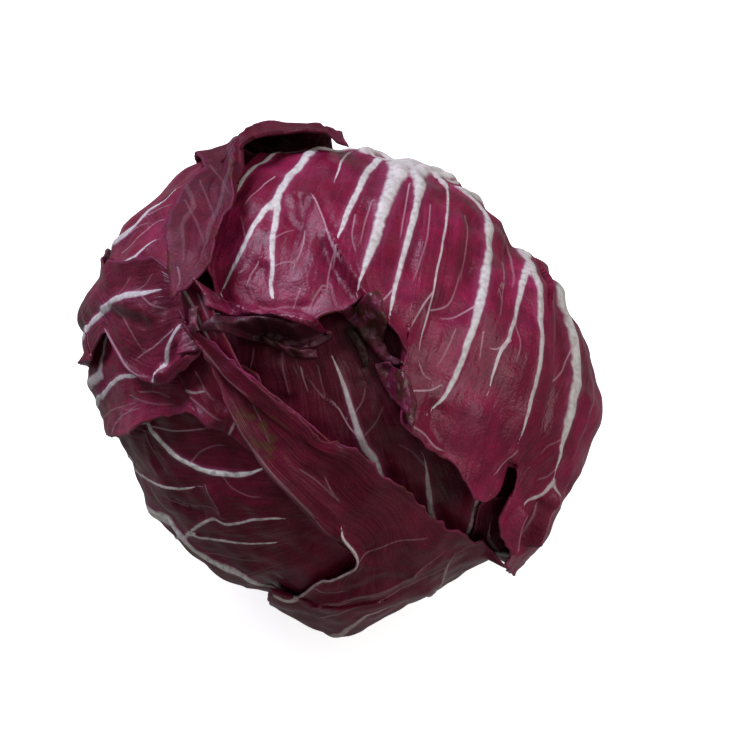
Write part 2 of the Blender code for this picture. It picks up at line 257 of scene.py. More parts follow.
def widened(grid, times):
    """Each number becomes the largest of those up to `times` cells away."""
    for _ in range(times):
        grid = np.maximum(neighbours(grid).max(axis=0), grid)
    return grid


def resized(grid, shape):
    for axis, count in enumerate(shape):
        moved = np.moveaxis(grid, axis, 0)
        moved = spline(moved, np.linspace(0, len(moved) - 1, count))
        grid = np.moveaxis(moved, 0, axis)
    return grid


def cast(tree, directions, outward):
    """How far from the middle each ray meets the tree, going outward or coming inward."""
    flat = directions.reshape(-1, 3)
    found = np.full(len(flat), np.nan)
    for i, direction in enumerate(flat):
        ray = Vector(direction)
        start, way = (MIDDLE, ray) if outward else (MIDDLE + ray * FAR, -ray)
        hit = tree.ray_cast(start, way, FAR)[0]
        if hit is not None:
            found[i] = (hit - MIDDLE).length
    return found.reshape(directions.shape[:-1])


def solid_radius(node, directions):
    """The smoothed inner face of the node's solid, in each direction of the grid."""
    columns, rows = directions.shape[:2]
    step = max(1.0, (columns * rows / COARSE_POINTS) ** 0.5)
    coarse_shape = (max(8, round(columns / step)), max(12, round(rows / step)))
    coarse = normalised(resized(directions, coarse_shape))
    radius = filled(cast(solid_tree(node), coarse, outward=True))
    return resized(blurred(radius, SMOOTHING), (columns, rows))


# %% [markdown]
# ## Distances on the leaf
#
# Ribs, veins and folds all ask the same question: how far is this point of the leaf from that
# line, on which side of it, and how far along it? One function answers it for the whole grid.

# %% How far from a line
FAR_OFF = 9.0


def near(line, grid):
    """Millimetres from the line, the side of it (1 is left, -1 right) and how far along, 0 to 1."""
    best = np.full(grid.shape[:2], FAR_OFF)
    side = np.ones(grid.shape[:2])
    along = np.zeros(grid.shape[:2])
    last = len(line) - 1
    for k in range(last):
        step = line[k + 1] - line[k]
        away = grid - line[k]
        share = np.clip(away @ step / (step @ step), 0, 1)
        off = away - share[..., None] * step
        distance = np.linalg.norm(off, axis=-1)
        closer = distance < best
        best = np.where(closer, distance, best)
        side = np.where(closer, np.where(off @ np.cross(line[k], step) < 0, -1.0, 1.0), side)
        along = np.where(closer, (k + share) / last, along)
    return best * HEAD_RADIUS / MM, side, along


def eased(low, high, value):
    """0 below low, 1 above high and a smooth rise between."""
    share = np.clip((value - low) / (high - low), 0, 1)
    return share * share * (3 - 2 * share)


def ripple(points, wavelength, seed, waves=14):
    """A smooth random relief from about -1 to 1, with bumps some `wavelength` millimetres apart."""
    draw = np.random.default_rng(seed)
    total = np.zeros(points.shape[:-1])
    for _ in range(waves):
        way = draw.normal(size=3)
        way *= 2 * math.pi / (wavelength * MM) / np.linalg.norm(way) * draw.uniform(0.7, 1.3)
        total += np.sin(points @ way + draw.uniform(0, 2 * math.pi))
    return total / math.sqrt(waves)


# %% [markdown]
# ## The outline of a leaf
#
# The grid of directions is stretched between the side edges, and its outer rows follow the rim.
# The foot reaches the stem, as the foot of a real leaf does. Small teeth are drawn out of the
# rim and of the side edges.

# %% Span the leaf
FOOT_FALL = 167.5
GUIDE_POINTS = 160
RIM_PULL = 2.2
TOOTH_PITCH = 5.2
TOOTH_ROOT = 2.4


def spanned(leaf, cell, laid):
    """The leaf's directions as a grid: columns across the leaf, rows from the foot to the rim."""
    left, right, rim = (path(GUIDE_POINTS, edge, laid) for edge in (leaf.left, leaf.right, leaf.rim))
    widest = np.linalg.norm(left - right, axis=1).max()
    across = max(widest, lengths_along(rim)[-1] * 0.8) * HEAD_RADIUS
    longest = max(lengths_along(left)[-1], lengths_along(right)[-1]) * HEAD_RADIUS
    columns, rows = round(across / cell), round(longest / cell)
    u = np.linspace(0, 1, columns)[:, None, None]
    v = np.linspace(0, 1, rows)[None, :, None]
    sides = resized(np.stack((left, right)), (2, rows))
    sheet = sides[:1] * (1 - u) + sides[1:] * u
    rim = spline(rim, np.linspace(0, GUIDE_POINTS - 1, columns))[:, None]
    off_rim = rim - (rim[:1] * (1 - u) + rim[-1:] * u)
    return normalised(sheet + off_rim * v**RIM_PULL)


def teeth(length, count, size, seed):
    """How far the margin reaches out at `count` places along `length` millimetres, in millimetres."""
    draw = np.random.default_rng(seed)
    at = np.linspace(0, length, count)
    reach = np.zeros(count)
    place = draw.uniform(0, TOOTH_PITCH)
    while place < length:
        height = size * draw.uniform(0.35, 1.0)
        width = TOOTH_PITCH * draw.uniform(0.28, 0.5)
        reach = np.maximum(reach, height * np.clip(1 - np.abs(at - place) / width, 0, 1) ** 1.6)
        place += TOOTH_PITCH * draw.uniform(0.5, 1.4)
    return reach


def toothed(grid, sizes, seed):
    """The grid with teeth drawn out of the rim, the left edge and the right edge."""
    moved = grid.copy()
    # Each view has the margin as its first row: the rim, then the two side edges.
    views = (moved[:, ::-1], moved.transpose(1, 0, 2), moved[::-1].transpose(1, 0, 2))
    for turn, (view, size) in enumerate(zip(views, sizes)):
        inward = lengths_along(view[len(view) // 2]) * HEAD_RADIUS / MM
        out = normalised(view[:, 0] - view[:, 3])
        length = lengths_along(view[:, 0])[-1] * HEAD_RADIUS / MM
        reach = teeth(length, len(view), size, seed + turn) * MM / HEAD_RADIUS
        reach = reach - reach.mean()
        if turn:
            reach = reach * np.linspace(0, 1, len(reach)) ** 0.5
        rows = int(np.searchsorted(inward, TOOTH_ROOT)) + 1
        fade = np.clip(1 - inward[:rows] / TOOTH_ROOT, 0, 1)
        view[:, :rows] += out[:, None] * reach[:, None, None] * fade[None, :, None]
    return normalised(moved)


# %% [markdown]
# ## Relief
#
# On a real leaf the ribs stand out on the outer face, the blade puffs up a little between
# them, and fine veins draw it in. All of this is real geometry here, so that the rims and the
# light show it. The distances are also kept as attributes on the mesh, for the materials.

# %% Raise the ribs, veins and folds
BLADE = 0.8
RIB_RISE = 0.7
RIB_TALLEST = 1.5
NARROWEST = 0.8
PUFF = 0.4
PUFF_REACH = 4.0
VEIN_RISE = 0.16
VEIN_HALF = 0.45
RIB_POINTS = 40
LINE_POINTS = 30


def relief(leaf, grid, laid):
    """Millimetres that the ribs and the blade's folds add, and what the materials read."""
    shape = grid.shape[:2]
    height, puff_from, folded = np.zeros(shape), np.full(shape, FAR_OFF), np.zeros(shape)
    names = ("rib_across", "rib_half", "rib_pale", "rib_gap", "vein_across", "vein_pale", "stain")
    read = {name: np.zeros(shape) for name in names}
    read["rib"], read["vein"], read["rib_half"] = np.full(shape, 4.0), np.full(shape, 3.0), np.ones(shape)
    read["rib_across"], read["vein_across"], read["rib_gap"] = (np.full(shape, 3.0) for _ in range(3))

    def keep(nearness, value, **others):
        """Where this line is the nearest one yet, it is what the materials read."""
        closer = value < read[nearness]
        for name, other in {nearness: value, **others}.items():
            read[name] = np.where(closer, other, read[name])

    for rib in leaf.ribs:
        points = marks(rib, laid)
        lengths = lengths_along(points)
        shown = lengths[min(len(rib.hidden), len(points) - 2)] / lengths[-1]
        distance, side, along = near(path(RIB_POINTS, rib, laid), grid)
        half = np.interp(along, (0, shown + 0.001, 1), (rib.foot, rib.start, rib.end)) / 2
        half = half * (1 - eased(0.92, 1.0, along)) + 0.04
        share = distance / half
        gap = distance - half
        keep("rib", share, rib_across=distance * side, rib_half=half, rib_pale=rib.pale, rib_gap=gap)
        slope = np.maximum(1.2 * half, NARROWEST)
        rise = np.minimum(RIB_RISE * half, RIB_TALLEST) * np.exp(-((distance / slope) ** 2))
        height = np.maximum(height, rise)
        puff_from = np.minimum(puff_from, distance)
    for vein in leaf.veins:
        distance, side, along = near(path(LINE_POINTS, vein, laid), grid)
        pale = vein.pale * (1 - 0.5 * along) * (1 - eased(0.9, 1, along))
        keep("vein", distance, vein_across=distance * side, vein_pale=pale)
        height = height + VEIN_RISE * vein.pale * np.exp(-((distance / VEIN_HALF) ** 2))
        puff_from = np.minimum(puff_from, distance * 1.5)
    for fold in leaf.folds:
        distance, side, along = near(path(LINE_POINTS, fold, laid), grid)
        ends = eased(0, 0.15, along) * (1 - eased(0.85, 1, along))
        onto = distance * side
        folded += fold.step * eased(-0.4, 0.4, onto) * np.exp(-np.maximum(onto, 0) / fold.reach) * ends
        folded += fold.ridge * np.exp(-((distance / fold.width) ** 2)) * ends
        if fold.pale:
            keep("vein", distance, vein_across=distance * side, vein_pale=fold.pale * ends)
    for stain in leaf.stains:
        distance = np.linalg.norm(grid - seen_at(*stain.pixel, laid), axis=-1) * HEAD_RADIUS / MM
        read["stain"] = np.maximum(read["stain"], np.exp(-((distance / stain.reach) ** 2)))
    puff = PUFF * (1 - np.exp(-((puff_from / PUFF_REACH) ** 2)))
    return height, puff + folded, read


# %% [markdown]
# ## Laying one leaf on the next
#
# The leaves are made from the inside out. Each new one asks how far the finished ones already
# reach, and is lifted where it would cut into them, so that thick ribs show through a little.
# A leaf is laid twice: roughly first, and then finely with its pixels looked up on the rough one.

# %% What the finished leaves take up
CLEAR = 0.18
SHEET = 0.5
SETTLE = 0.5
LIFT_REACH = 2.6
FLUSH_REACH = 5.0
LOWEST = 0.6
# Waves of the blade: how high they are and how far apart, in millimetres.
BROAD_WAVE = (0.5, 16)
SMALL_WAVE = (0.14, 6)
# Where a leaf is lifted off those below: by how many cells the lift is widened and smoothed.
LIFT_WIDENED = 2
LIFT_SMOOTHED = 6
# How the loose leaves differ from their solids along the outline in the photograph's view: the
# angle round the outline from +X in degrees, and millimetres outwards. The amounts were set in
# several rounds, each after the picture's outline was compared with the photograph's.
SLACK = (
    (-10, 1.6), (8, 0.4), (16, 0.2), (24, 1.4), (30, -0.6), (37, -2.8), (44, 0.0), (50, -0.1),
    (56, 0.2), (61, 0.6), (67, -0.1), (76, -1.4), (84, -1.0), (90, -2.8), (98, -2.4), (106, -2.2),
    (118, 0.3), (126, 0.8), (134, 0.2), (145, 0.8), (157, -2.8), (168, -1.6), (174, -1.5), (178, 0.5),
    (184, 0.6), (192, 1.0), (202, -0.6), (212, 0.8), (224, 0.8), (236, 1.0), (246, 0.2), (252, -2.4),
    (260, -0.8), (270, 1.4), (280, -0.4), (287, -2.0), (293, -0.9), (303, -1.6), (318, -1.2),
    (336, -0.6),
)
SLACK_DEPTH = 38.0


class Wrapped:
    """The fine pieces made so far, to ask how far they reach."""

    def __init__(self):
        self.trees = []

    def add(self, obj):
        points = np.empty(len(obj.data.vertices) * 3)
        obj.data.vertices.foreach_get("co", points)
        faces = [face.vertices[:] for face in obj.data.polygons]
        self.trees.append(BVHTree.FromPolygons(points.reshape(-1, 3).tolist(), faces))

    def reach(self, directions):
        """How far the finished pieces reach in each direction."""
        furthest = np.zeros(directions.shape[:-1])
        for tree in self.trees:
            furthest = np.fmax(furthest, cast(tree, directions, outward=False))
        return furthest


wrapped = Wrapped()


def slack(grid):
    """How many millimetres further out than their solids the leaves lie in each direction."""
    angles = np.degrees(np.arctan2(grid @ np.array(view_up), grid @ np.array(view_right)))
    towards_camera = np.degrees(np.arcsin(np.clip(grid @ np.array(view_back), -1, 1)))
    amounts = np.interp(angles, *np.transpose(SLACK), period=360)
    return amounts * np.exp(-((towards_camera / SLACK_DEPTH) ** 2))


def lay(leaf, cell, seed, laid=None):
    """The leaf's directions, how far out its outer face lies, and what its material reads."""
    grid = toothed(spanned(leaf, cell, laid), leaf.teeth, seed)
    columns, rows = grid.shape[:2]
    height, loose, read = relief(leaf, grid, laid)
    u = np.linspace(0, 1, columns)[:, None]
    v = np.linspace(0, 1, rows)[None, :]
    length = lengths_along(grid[columns // 2])[-1] * HEAD_RADIUS / MM
    width = np.linalg.norm(grid[0] - grid[-1], axis=1)[None] * HEAD_RADIUS / MM
    margins = ((1 - v) * length + 0 * u, u * width, (1 - u) * width)
    flush = np.zeros(grid.shape[:2])
    sides = eased(0.15, 0.5, v)
    for lift, margin, share in zip(leaf.lift, margins, (1, sides, sides)):
        if lift < 0:
            # A negative lift lets this margin run out flush into what is under it.
            flush = np.maximum(flush, np.exp(-((margin / FLUSH_REACH) ** 2)))
        else:
            loose = loose + lift * np.exp(-margin / LIFT_REACH) * share
    waves = BROAD_WAVE[0] * ripple(grid * HEAD_RADIUS, BROAD_WAVE[1], seed)
    waves = waves + SMALL_WAVE[0] * ripple(grid * HEAD_RADIUS, SMALL_WAVE[1], seed + 50)
    loose = (loose + waves - SETTLE) * eased(0.0, 0.25, v) + slack(grid)
    under = wrapped.reach(grid)
    wanted = solid_radius(leaf.node, grid) + loose * MM
    short = np.maximum(under + CLEAR * MM - wanted, 0)
    lifted = np.maximum(blurred(widened(short, LIFT_WIDENED), LIFT_SMOOTHED), short)
    outer = wanted + lifted + (BLADE + height * eased(0, 0.1, v)) * MM
    outer = outer * (1 - flush) + np.minimum(outer, under + 2 * CLEAR * MM) * flush
    # No foot reaches below the cut face of the stem.
    down = np.maximum(-grid[..., 2], 0.01)
    outer = np.minimum(outer, (MIDDLE.z - LOWEST * MM) / down)
    read["margin"] = np.minimum(np.minimum(margins[0], margins[1]), margins[2]) + 5 * flush
    read["foot"] = (0.5 if leaf.piece else 0) + (0.5 if leaf.piece else 1) * v + 0 * u
    return grid, outer, read


# %% [markdown]
# ## From directions to a mesh
#
# A leaf's mesh starts as a grid primitive, whose points are moved to where the leaf lies. A
# solidify modifier then gives it thickness. It grows inwards, so that the outer face stays in
# place. Last, the piece gets its material and rides on the body of the solid that it dresses.

# %% Make the mesh of a leaf
def grid_object(name, points):
    """A grid primitive with its points moved to `points`, an array of columns of rows."""
    columns, rows = points.shape[:2]
    bpy.ops.object.select_all(action="DESELECT")
    bpy.ops.mesh.primitive_grid_add(x_subdivisions=columns - 1, y_subdivisions=rows - 1, size=1)
    obj = bpy.context.object
    obj.name = name
    obj.data.name = name
    flat = np.empty(columns * rows * 3)
    obj.data.vertices.foreach_get("co", flat)
    place = flat.reshape(-1, 3) + 0.5
    i = np.rint(place[:, 0] * (columns - 1)).astype(int)
    j = np.rint(place[:, 1] * (rows - 1)).astype(int)
    obj.data.vertices.foreach_set("co", points[i, j].ravel())
    obj.data.update()
    # The UV map is in millimetres, across the sheet and along it.
    middle = points[:, rows // 2], points[columns // 2]
    size = [lengths_along(line)[-1] / MM for line in middle]
    uv = np.empty(len(obj.data.loops) * 2)
    obj.data.uv_layers[0].data.foreach_get("uv", uv)
    obj.data.uv_layers[0].data.foreach_set("uv", (uv.reshape(-1, 2) * size).ravel())
    return obj, i, j


def add_attribute(obj, name, values):
    attribute = obj.data.attributes.new(name, "FLOAT", "POINT")
    attribute.data.foreach_set("value", np.asarray(values, dtype=np.float32))


def with_thickness(obj, thickness):
    """The sheet made a closed solid, growing inwards from its outer face."""
    mesh = obj.data
    sample = list(mesh.polygons)[:: max(1, len(mesh.polygons) // 400)]
    if sum(face.normal.dot(face.center - MIDDLE) for face in sample) < 0:
        mesh.flip_normals()
    solidify = obj.modifiers.new("Thickness", "SOLIDIFY")
    solidify.thickness = thickness
    solidify.offset = -1
    bpy.ops.object.modifier_apply(modifier=solidify.name)
    bpy.ops.object.shade_smooth()


def finish_piece(obj, material, node=None):
    """Give a piece its material, let it ride, and keep its shape for the pieces laid on it."""
    obj.data.materials.clear()
    obj.data.materials.append(material)
    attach(obj, "root")
    if node:
        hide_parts(node)
    wrapped.add(obj)
    print(obj.name, len(obj.data.polygons), "faces", [round(side / MM) for side in obj.dimensions], "mm")


CELL = 0.68 * MM
FINE_CELL = 0.62 * MM
ROUGH_CELL = 2.0 * MM


def make_leaf(leaf, cell=CELL, seed=1):
    """One leaf, from its outline, ribs, veins and folds, laid on what is already there."""
    laid = Laid(*lay(leaf, ROUGH_CELL, seed)[:2])
    grid, outer, read = lay(leaf, cell, seed, laid)
    obj, i, j = grid_object(leaf.piece or leaf.node + "_leaf", np.array(MIDDLE) + grid * outer[..., None])
    for name, values in read.items():
        add_attribute(obj, name, values[i, j])
    with_thickness(obj, SHEET * MM)
    finish_piece(obj, finishes[leaf.skin or leaf.finish], None if leaf.piece else leaf.node)


# %% [markdown]
# ## Finishes
#
# Radicchio is a fresh leaf: a waxy skin over burgundy flesh. It is smooth enough to shine where
# the light meets it. The ribs are white and solid, with a pink edge where the colour starts.
# The colours are sRGB hex values, and one function turns them to linear light.

# %% Helpers for materials
def linear(colour):
    """An sRGB hex colour as linear light."""
    parts = [int(colour[k : k + 2], 16) / 255 for k in (1, 3, 5)]
    return [part / 12.92 if part <= 0.04045 else ((part + 0.055) / 1.055) ** 2.4 for part in parts] + [1.0]


def add_node(tree, kind, inputs=(), **settings):
    """A node with its settings. `inputs` pairs each input with a value or with another's output."""
    node = tree.nodes.new("ShaderNode" + kind)
    for name, value in settings.items():
        setattr(node, name, value)
    for key, value in dict(inputs).items():
        if isinstance(value, bpy.types.NodeSocket):
            tree.links.new(value, node.inputs[key])
        else:
            node.inputs[key].default_value = value
    return node


class Recipe:
    """A new material's node tree, with short words for the nodes that it is made of."""

    def __init__(self, name):
        self.material = bpy.data.materials.new(name)
        self.material.use_nodes = True
        self.tree = self.material.node_tree
        self.shader = self.tree.nodes["Principled BSDF"]
        coordinates = add_node(self.tree, "TexCoord")
        inputs = {0: coordinates.outputs["Object"], 3: 1 / MM}
        self.place = add_node(self.tree, "VectorMath", inputs, operation="SCALE").outputs[0]
        # Along a leaf its pattern is drawn out: one millimetre across to nine along.
        inputs = {"Vector": coordinates.outputs["UV"], "Scale": (1.0, 0.11, 1.0)}
        self.drawn_out = add_node(self.tree, "Mapping", inputs).outputs[0]

    def read(self, attribute):
        return add_node(self.tree, "Attribute", attribute_name=attribute).outputs["Fac"]

    def calculate(self, operation, *values):
        return add_node(self.tree, "Math", dict(enumerate(values)), operation=operation).outputs[0]

    def times(self, first, second):
        return self.calculate("MULTIPLY", first, second)

    def rest(self, value):
        return self.calculate("SUBTRACT", 1.0, value)

    def rise(self, value, low, high, start=0.0, end=1.0):
        inputs = {"Value": value, "From Min": low, "From Max": high, "To Min": start, "To Max": end}
        return add_node(self.tree, "MapRange", inputs, interpolation_type="SMOOTHSTEP").outputs["Result"]

    def noise(self, wavelength, detail=2.0, vector=None):
        inputs = {"Vector": vector or self.place, "Scale": 1 / wavelength, "Detail": detail}
        return add_node(self.tree, "TexNoise", inputs).outputs["Fac"]

    def mix(self, share, first, second):
        first, second = (linear(c) if isinstance(c, str) else c for c in (first, second))
        return add_node(self.tree, "Mix", {0: share, 6: first, 7: second}, data_type="RGBA").outputs[2]

    def bump(self, height, depth, strength, before=None):
        inputs = {"Strength": strength, "Distance": depth * MM, "Height": height}
        if before:
            inputs["Normal"] = before
        return add_node(self.tree, "Bump", inputs).outputs[0]

    def feed(self, **values):
        """Set the shader's inputs, named with underscores for spaces."""
        for name, value in values.items():
            socket = self.shader.inputs[name.replace("_", " ")]
            if isinstance(value, bpy.types.NodeSocket):
                self.tree.links.new(value, socket)
            else:
                socket.default_value = linear(value) if isinstance(value, str) else value


def leaf_material(name, blade, bright, dusk, roughness, crinkle, shine, white="#CDCCC8"):
    """Fresh radicchio leaf: waxy burgundy blade, white ribs with pink edges, fine pale veins."""
    r = Recipe(name)
    patches = r.rise(r.noise(17.0, 3.0), 0.36, 0.66)
    blotches = r.rise(r.noise(5.0, 3.0), 0.35, 0.7)
    streaks = r.noise(0.9, 3.0, r.drawn_out)
    fine = r.noise(0.6)
    grain = r.noise(0.32, 3.0)
    base = r.mix(patches, blade, bright)
    base = r.mix(r.times(blotches, 0.5), base, dusk)
    base = r.mix(r.times(r.rise(streaks, 0.42, 0.68), 0.12), base, bright)
    base = r.mix(r.times(r.rise(fine, 0.48, 0.72), 0.35), base, "#2C0814")
    base = r.mix(r.times(r.rise(grain, 0.55, 0.75), 0.22), base, "#A04468")

    # Fine side veins make a pale net, in cells a few millimetres wide.
    inputs = {"Vector": r.drawn_out, "Scale": 0.42, "Randomness": 0.9}
    cells = add_node(r.tree, "TexVoronoi", inputs, feature="DISTANCE_TO_EDGE").outputs["Distance"]
    base = r.mix(r.times(r.rest(r.rise(cells, 0.0, 0.07)), 0.10), base, "#8E3F63")

    # The ribs: white flesh, then a pink edge where the blade's colour starts.
    # The distance across a rib has a sign, so that a rib thinner than the mesh's cells is drawn
    # whole. Half way to the next rib the sign flips too: the gap leaves that out, and a wide rib
    # is drawn by its plain distance instead.
    raggedness = r.rise(r.noise(2.5, 1.0), 0.3, 0.7, -0.11, 0.11)
    edge = r.calculate("ADD", r.read("rib"), raggedness)
    base = r.mix(r.times(r.times(r.rest(r.rise(edge, 1.0, 2.6)), r.read("rib_pale")), 0.35), base, "#96406B")
    signed = r.calculate("ABSOLUTE", r.read("rib_across"))
    plain = r.calculate("ADD", r.read("rib_gap"), r.read("rib_half"))
    wide = r.rise(r.read("rib_half"), 0.4, 0.55)
    distance = r.calculate("ADD", signed, r.times(wide, r.calculate("SUBTRACT", plain, signed)))
    share = r.calculate("DIVIDE", distance, r.read("rib_half"))
    ragged = r.calculate("ADD", share, raggedness)
    strong = r.times(r.read("rib_pale"), r.rest(r.rise(r.read("rib_gap"), 0.25, 0.45)))
    flesh = r.mix(r.rise(r.noise(1.4, 4.0), 0.35, 0.75), white, "#B0A8A4")
    flesh = r.mix(r.rise(r.read("foot"), 0.75, 0.1), flesh, "#DDD6C2")
    on_rib = r.times(r.rest(r.rise(ragged, 0.6, 1.25)), strong)
    base = r.mix(on_rib, base, flesh)

    # Single veins, each as pale as its place on the leaf says.
    vein = r.rest(r.rise(r.calculate("ABSOLUTE", r.read("vein_across")), 0.08, 0.30))
    vein = r.times(vein, r.rest(r.rise(r.read("vein"), 0.5, 0.75)))
    base = r.mix(r.times(vein, r.read("vein_pale")), base, "#BE9DA8")

    # The margin is thin, and its pink, a little brighter than the blade, is a painted highlight.
    # Here and there it has dried brown.
    rim = r.rest(r.rise(r.read("margin"), 0.1, 0.8))
    dried = r.mix(r.rise(r.noise(6.0), 0.5, 0.6), "#8A3D62", "#5E3A2C")
    base = r.mix(r.times(rim, 0.3), base, dried)

    # Stains of a bruised leaf: olive brown, in small flecks.
    stain = r.times(r.read("stain"), r.rise(r.noise(2.2, 4.0), 0.45, 0.6))
    base = r.mix(r.times(stain, 0.75), base, "#4E3A1E")

    # Low on the leaf the blade thins out into white flesh, towards the stem.
    low = r.calculate("ADD", r.read("foot"), r.times(streaks, 0.14))
    base = r.mix(r.rest(r.rise(low, 0.12, 0.36)), base, "#D6CEBF")

    # Wrinkles that run with the ribs, small crinkles, the net of veins and a fine grain.
    off_rib = r.rest(r.times(on_rib, 0.8))
    normal = r.bump(streaks, 0.14, r.times(off_rib, 0.55 * crinkle))
    normal = r.bump(r.noise(2.4, 2.0, r.drawn_out), 0.5, r.times(off_rib, 0.6 * crinkle), normal)
    normal = r.bump(r.noise(1.7, 3.0), 0.25, r.times(off_rib, 0.55 * crinkle), normal)
    normal = r.bump(r.rise(cells, 0.0, 0.22), 0.12, r.times(off_rib, 0.5), normal)
    inputs = {"Vector": r.place, "Scale": 0.8, "Randomness": 1.0}
    crackle = add_node(r.tree, "TexVoronoi", inputs, feature="DISTANCE_TO_EDGE").outputs["Distance"]
    normal = r.bump(r.rise(crackle, 0.0, 0.25), 0.06, r.times(off_rib, 0.5 * crinkle), normal)
    normal = r.bump(fine, 0.06, 0.5, normal)
    normal = r.bump(grain, 0.03, 0.4, normal)
    r.feed(
        Base_Color=base, Normal=normal, IOR=1.42, Specular_IOR_Level=shine,
        Roughness=r.rise(r.noise(9.0, 3.0), 0.3, 0.7, roughness, roughness + 0.16),
        Subsurface_Weight=0.05, Subsurface_Scale=1.0 * MM,
    )
    return r.material


finishes = {
    "burgundy_leaf": leaf_material(
        "radicchio_blade_burgundy", "#70102F", "#8C1A45", "#4E0F28", 0.33, 1.0, 0.36,
    ),
    # A darker copy of the burgundy finish for the leaf at the left: its dark is painted shade.
    "painted_shade_leaf": leaf_material("radicchio_blade_painted_shade", "#5C0C24", "#741636", "#400A1E", 0.34, 0.9, 0.38),
    # The wine leaves' ribs get a whiter flesh than the others' ribs: painted light, making up for the shade
    # on the low leaves.
    "wine_leaf": leaf_material(
        "radicchio_blade_wine", "#5A0B21", "#6C122E", "#3E0A1C", 0.34, 0.4, 0.28, "#F0EEE8",
    ),
    "dusky_leaf": leaf_material("radicchio_blade_dusky", "#4E0F20", "#60182C", "#381020", 0.46, 1.2, 0.2),
    # A darker copy of the wine finish for the inner leaf in front: its dark is painted shade.
    "inner_painted_shade_leaf": leaf_material("radicchio_blade_inner_painted_shade", "#480A1A", "#5A0F24", "#330813", 0.34, 0.5, 0.26),
    # A nearly black copy of the wine finish for the leaf in the gap: painted shade.
    "deep_shade_leaf": leaf_material("radicchio_blade_deep_shade", "#3A0817", "#480C1E", "#260610", 0.4, 0.5, 0.15),
    "heart_leaf": leaf_material("radicchio_heart_blade", "#560C20", "#6A122C", "#3C0A1A", 0.36, 0.5, 0.28),
}


def withered_material(name, flesh, brown, pale, roughness):
    """A torn or withered scrap: flesh browned in blotches, pale flecks that are cracks and, on glossy scraps,
    painted glints.
    """
    r = Recipe(name)
    base = r.mix(r.rise(r.noise(4.0, 3.0), 0.38, 0.6), flesh, brown)
    base = r.mix(r.times(r.rise(r.noise(2.2, 5.0), 0.5, 0.75), 0.35), base, pale)
    normal = r.bump(r.noise(1.4, 4.0), 0.5, 0.8)
    r.feed(Base_Color=base, Normal=normal, Roughness=roughness, IOR=1.42)
    return r.material


# %% [markdown]
# ## The stem
#
# All leaves grow from the stem. It was cut off flat below them, and its cut has dried to a
# brownish cream with a darker ring under the skin. A profile is turned round the axis.

# %% stem
STEM_PROFILE = (
    (0, 0.5), (1.0, 0.5), (1.6, 0.25), (3, 0.2), (5, 0.1), (7.5, 0.12), (8.6, 0.05), (9.6, 0.0), (11.3, 0.0),
    (11.8, 0.2), (12.1, 0.7), (12.1, 14.0), (11.4, 14.8), (10, 15), (0, 15),
)
STEM_STEPS = 160
STEM_CREASE = math.radians(50)
bpy.ops.object.select_all(action="DESELECT")
stem_mesh = bpy.data.meshes.new("stem_cut")
stem_points = [(radius * MM, 0, height * MM) for radius, height in STEM_PROFILE]
stem_mesh.from_pydata(stem_points, [(k, k + 1) for k in range(len(stem_points) - 1)], [])
stem = bpy.data.objects.new("stem_cut", stem_mesh)
bpy.context.scene.collection.objects.link(stem)
bpy.context.view_layer.objects.active = stem
stem.select_set(True)
turning = stem.modifiers.new("Turning", "SCREW")
turning.steps = STEM_STEPS
turning.use_merge_vertices = True
turning.merge_threshold = 0.01 * MM
bpy.ops.object.modifier_apply(modifier=turning.name)
bpy.ops.object.mode_set(mode="EDIT")
bpy.ops.mesh.select_all(action="SELECT")
bpy.ops.mesh.normals_make_consistent(inside=False)
bpy.ops.object.mode_set(mode="OBJECT")
bpy.ops.object.shade_smooth_by_angle(angle=STEM_CREASE)

cut = Recipe("radicchio_cut_stem")
up_stem = add_node(cut.tree, "SeparateXYZ", {0: cut.place}).outputs["Z"]
across = add_node(cut.tree, "VectorMath", {0: cut.place, 1: (1, 1, 0)}, operation="MULTIPLY").outputs[0]
radius = add_node(cut.tree, "VectorMath", {0: across}, operation="LENGTH").outputs["Value"]
radius = cut.calculate("ADD", radius, cut.rise(cut.noise(5.0, 3.0), 0.2, 0.8, -1.2, 1.2))
cream = cut.mix(cut.rise(cut.noise(3.0, 4.0), 0.35, 0.7), "#CDBB97", "#A98C63")
ring = cut.times(cut.rise(radius, 8.0, 9.0), cut.rest(cut.rise(radius, 9.6, 10.6)))
ringed = cut.mix(ring, cream, "#8C6B45")
pith = cut.mix(cut.rest(cut.rise(radius, 1.4, 2.6)), ringed, "#7A5A3A")
above_cut = cut.rise(up_stem, 0.8, 2.5)
cut.feed(
    Base_Color=cut.mix(above_cut, pith, "#D9D0BC"), Roughness=0.6,
    Normal=cut.bump(cut.noise(1.2, 4.0), 0.3, 0.6),
)
finish_piece(stem, cut.material, "stem")

# %% [markdown]
# ## The heart
#
# Under the loose leaves is a tight ball of many leaves. It starts as an icosphere, whose
# points are moved out to the heart's solid and smoothed. Steps along a few lines then make
# the rims of its outermost leaves, and ribs run up from the stem as on the other leaves.

# %% heart
HEART_RIM = 1.1
HEART_SUBDIVISIONS = 7
HEART_SMOOTHED = 30
HEART_LINES = (
    ((250, 120), (262, 90), (285, 60), (320, 40), (20, 25)),
    ((330, 120), (345, 90), (5, 62), (40, 45), (90, 30)),
    ((60, 120), (80, 90), (105, 62), (140, 42), (190, 30)),
    ((150, 120), (170, 92), (200, 66), (235, 46), (270, 28)),
)
bpy.ops.object.select_all(action="DESELECT")
bpy.ops.mesh.primitive_ico_sphere_add(subdivisions=HEART_SUBDIVISIONS, radius=1, location=(0, 0, 0))
heart = bpy.context.object
heart.name = "heart_leaves"
heart_points = np.empty(len(heart.data.vertices) * 3)
heart.data.vertices.foreach_get("co", heart_points)
heart_ways = normalised(heart_points.reshape(-1, 3))
heart_out = cast(solid_tree("heart"), heart_ways, outward=True)
heart.data.vertices.foreach_set("co", (np.array(MIDDLE) + heart_ways * heart_out[:, None]).ravel())
bpy.ops.object.mode_set(mode="EDIT")
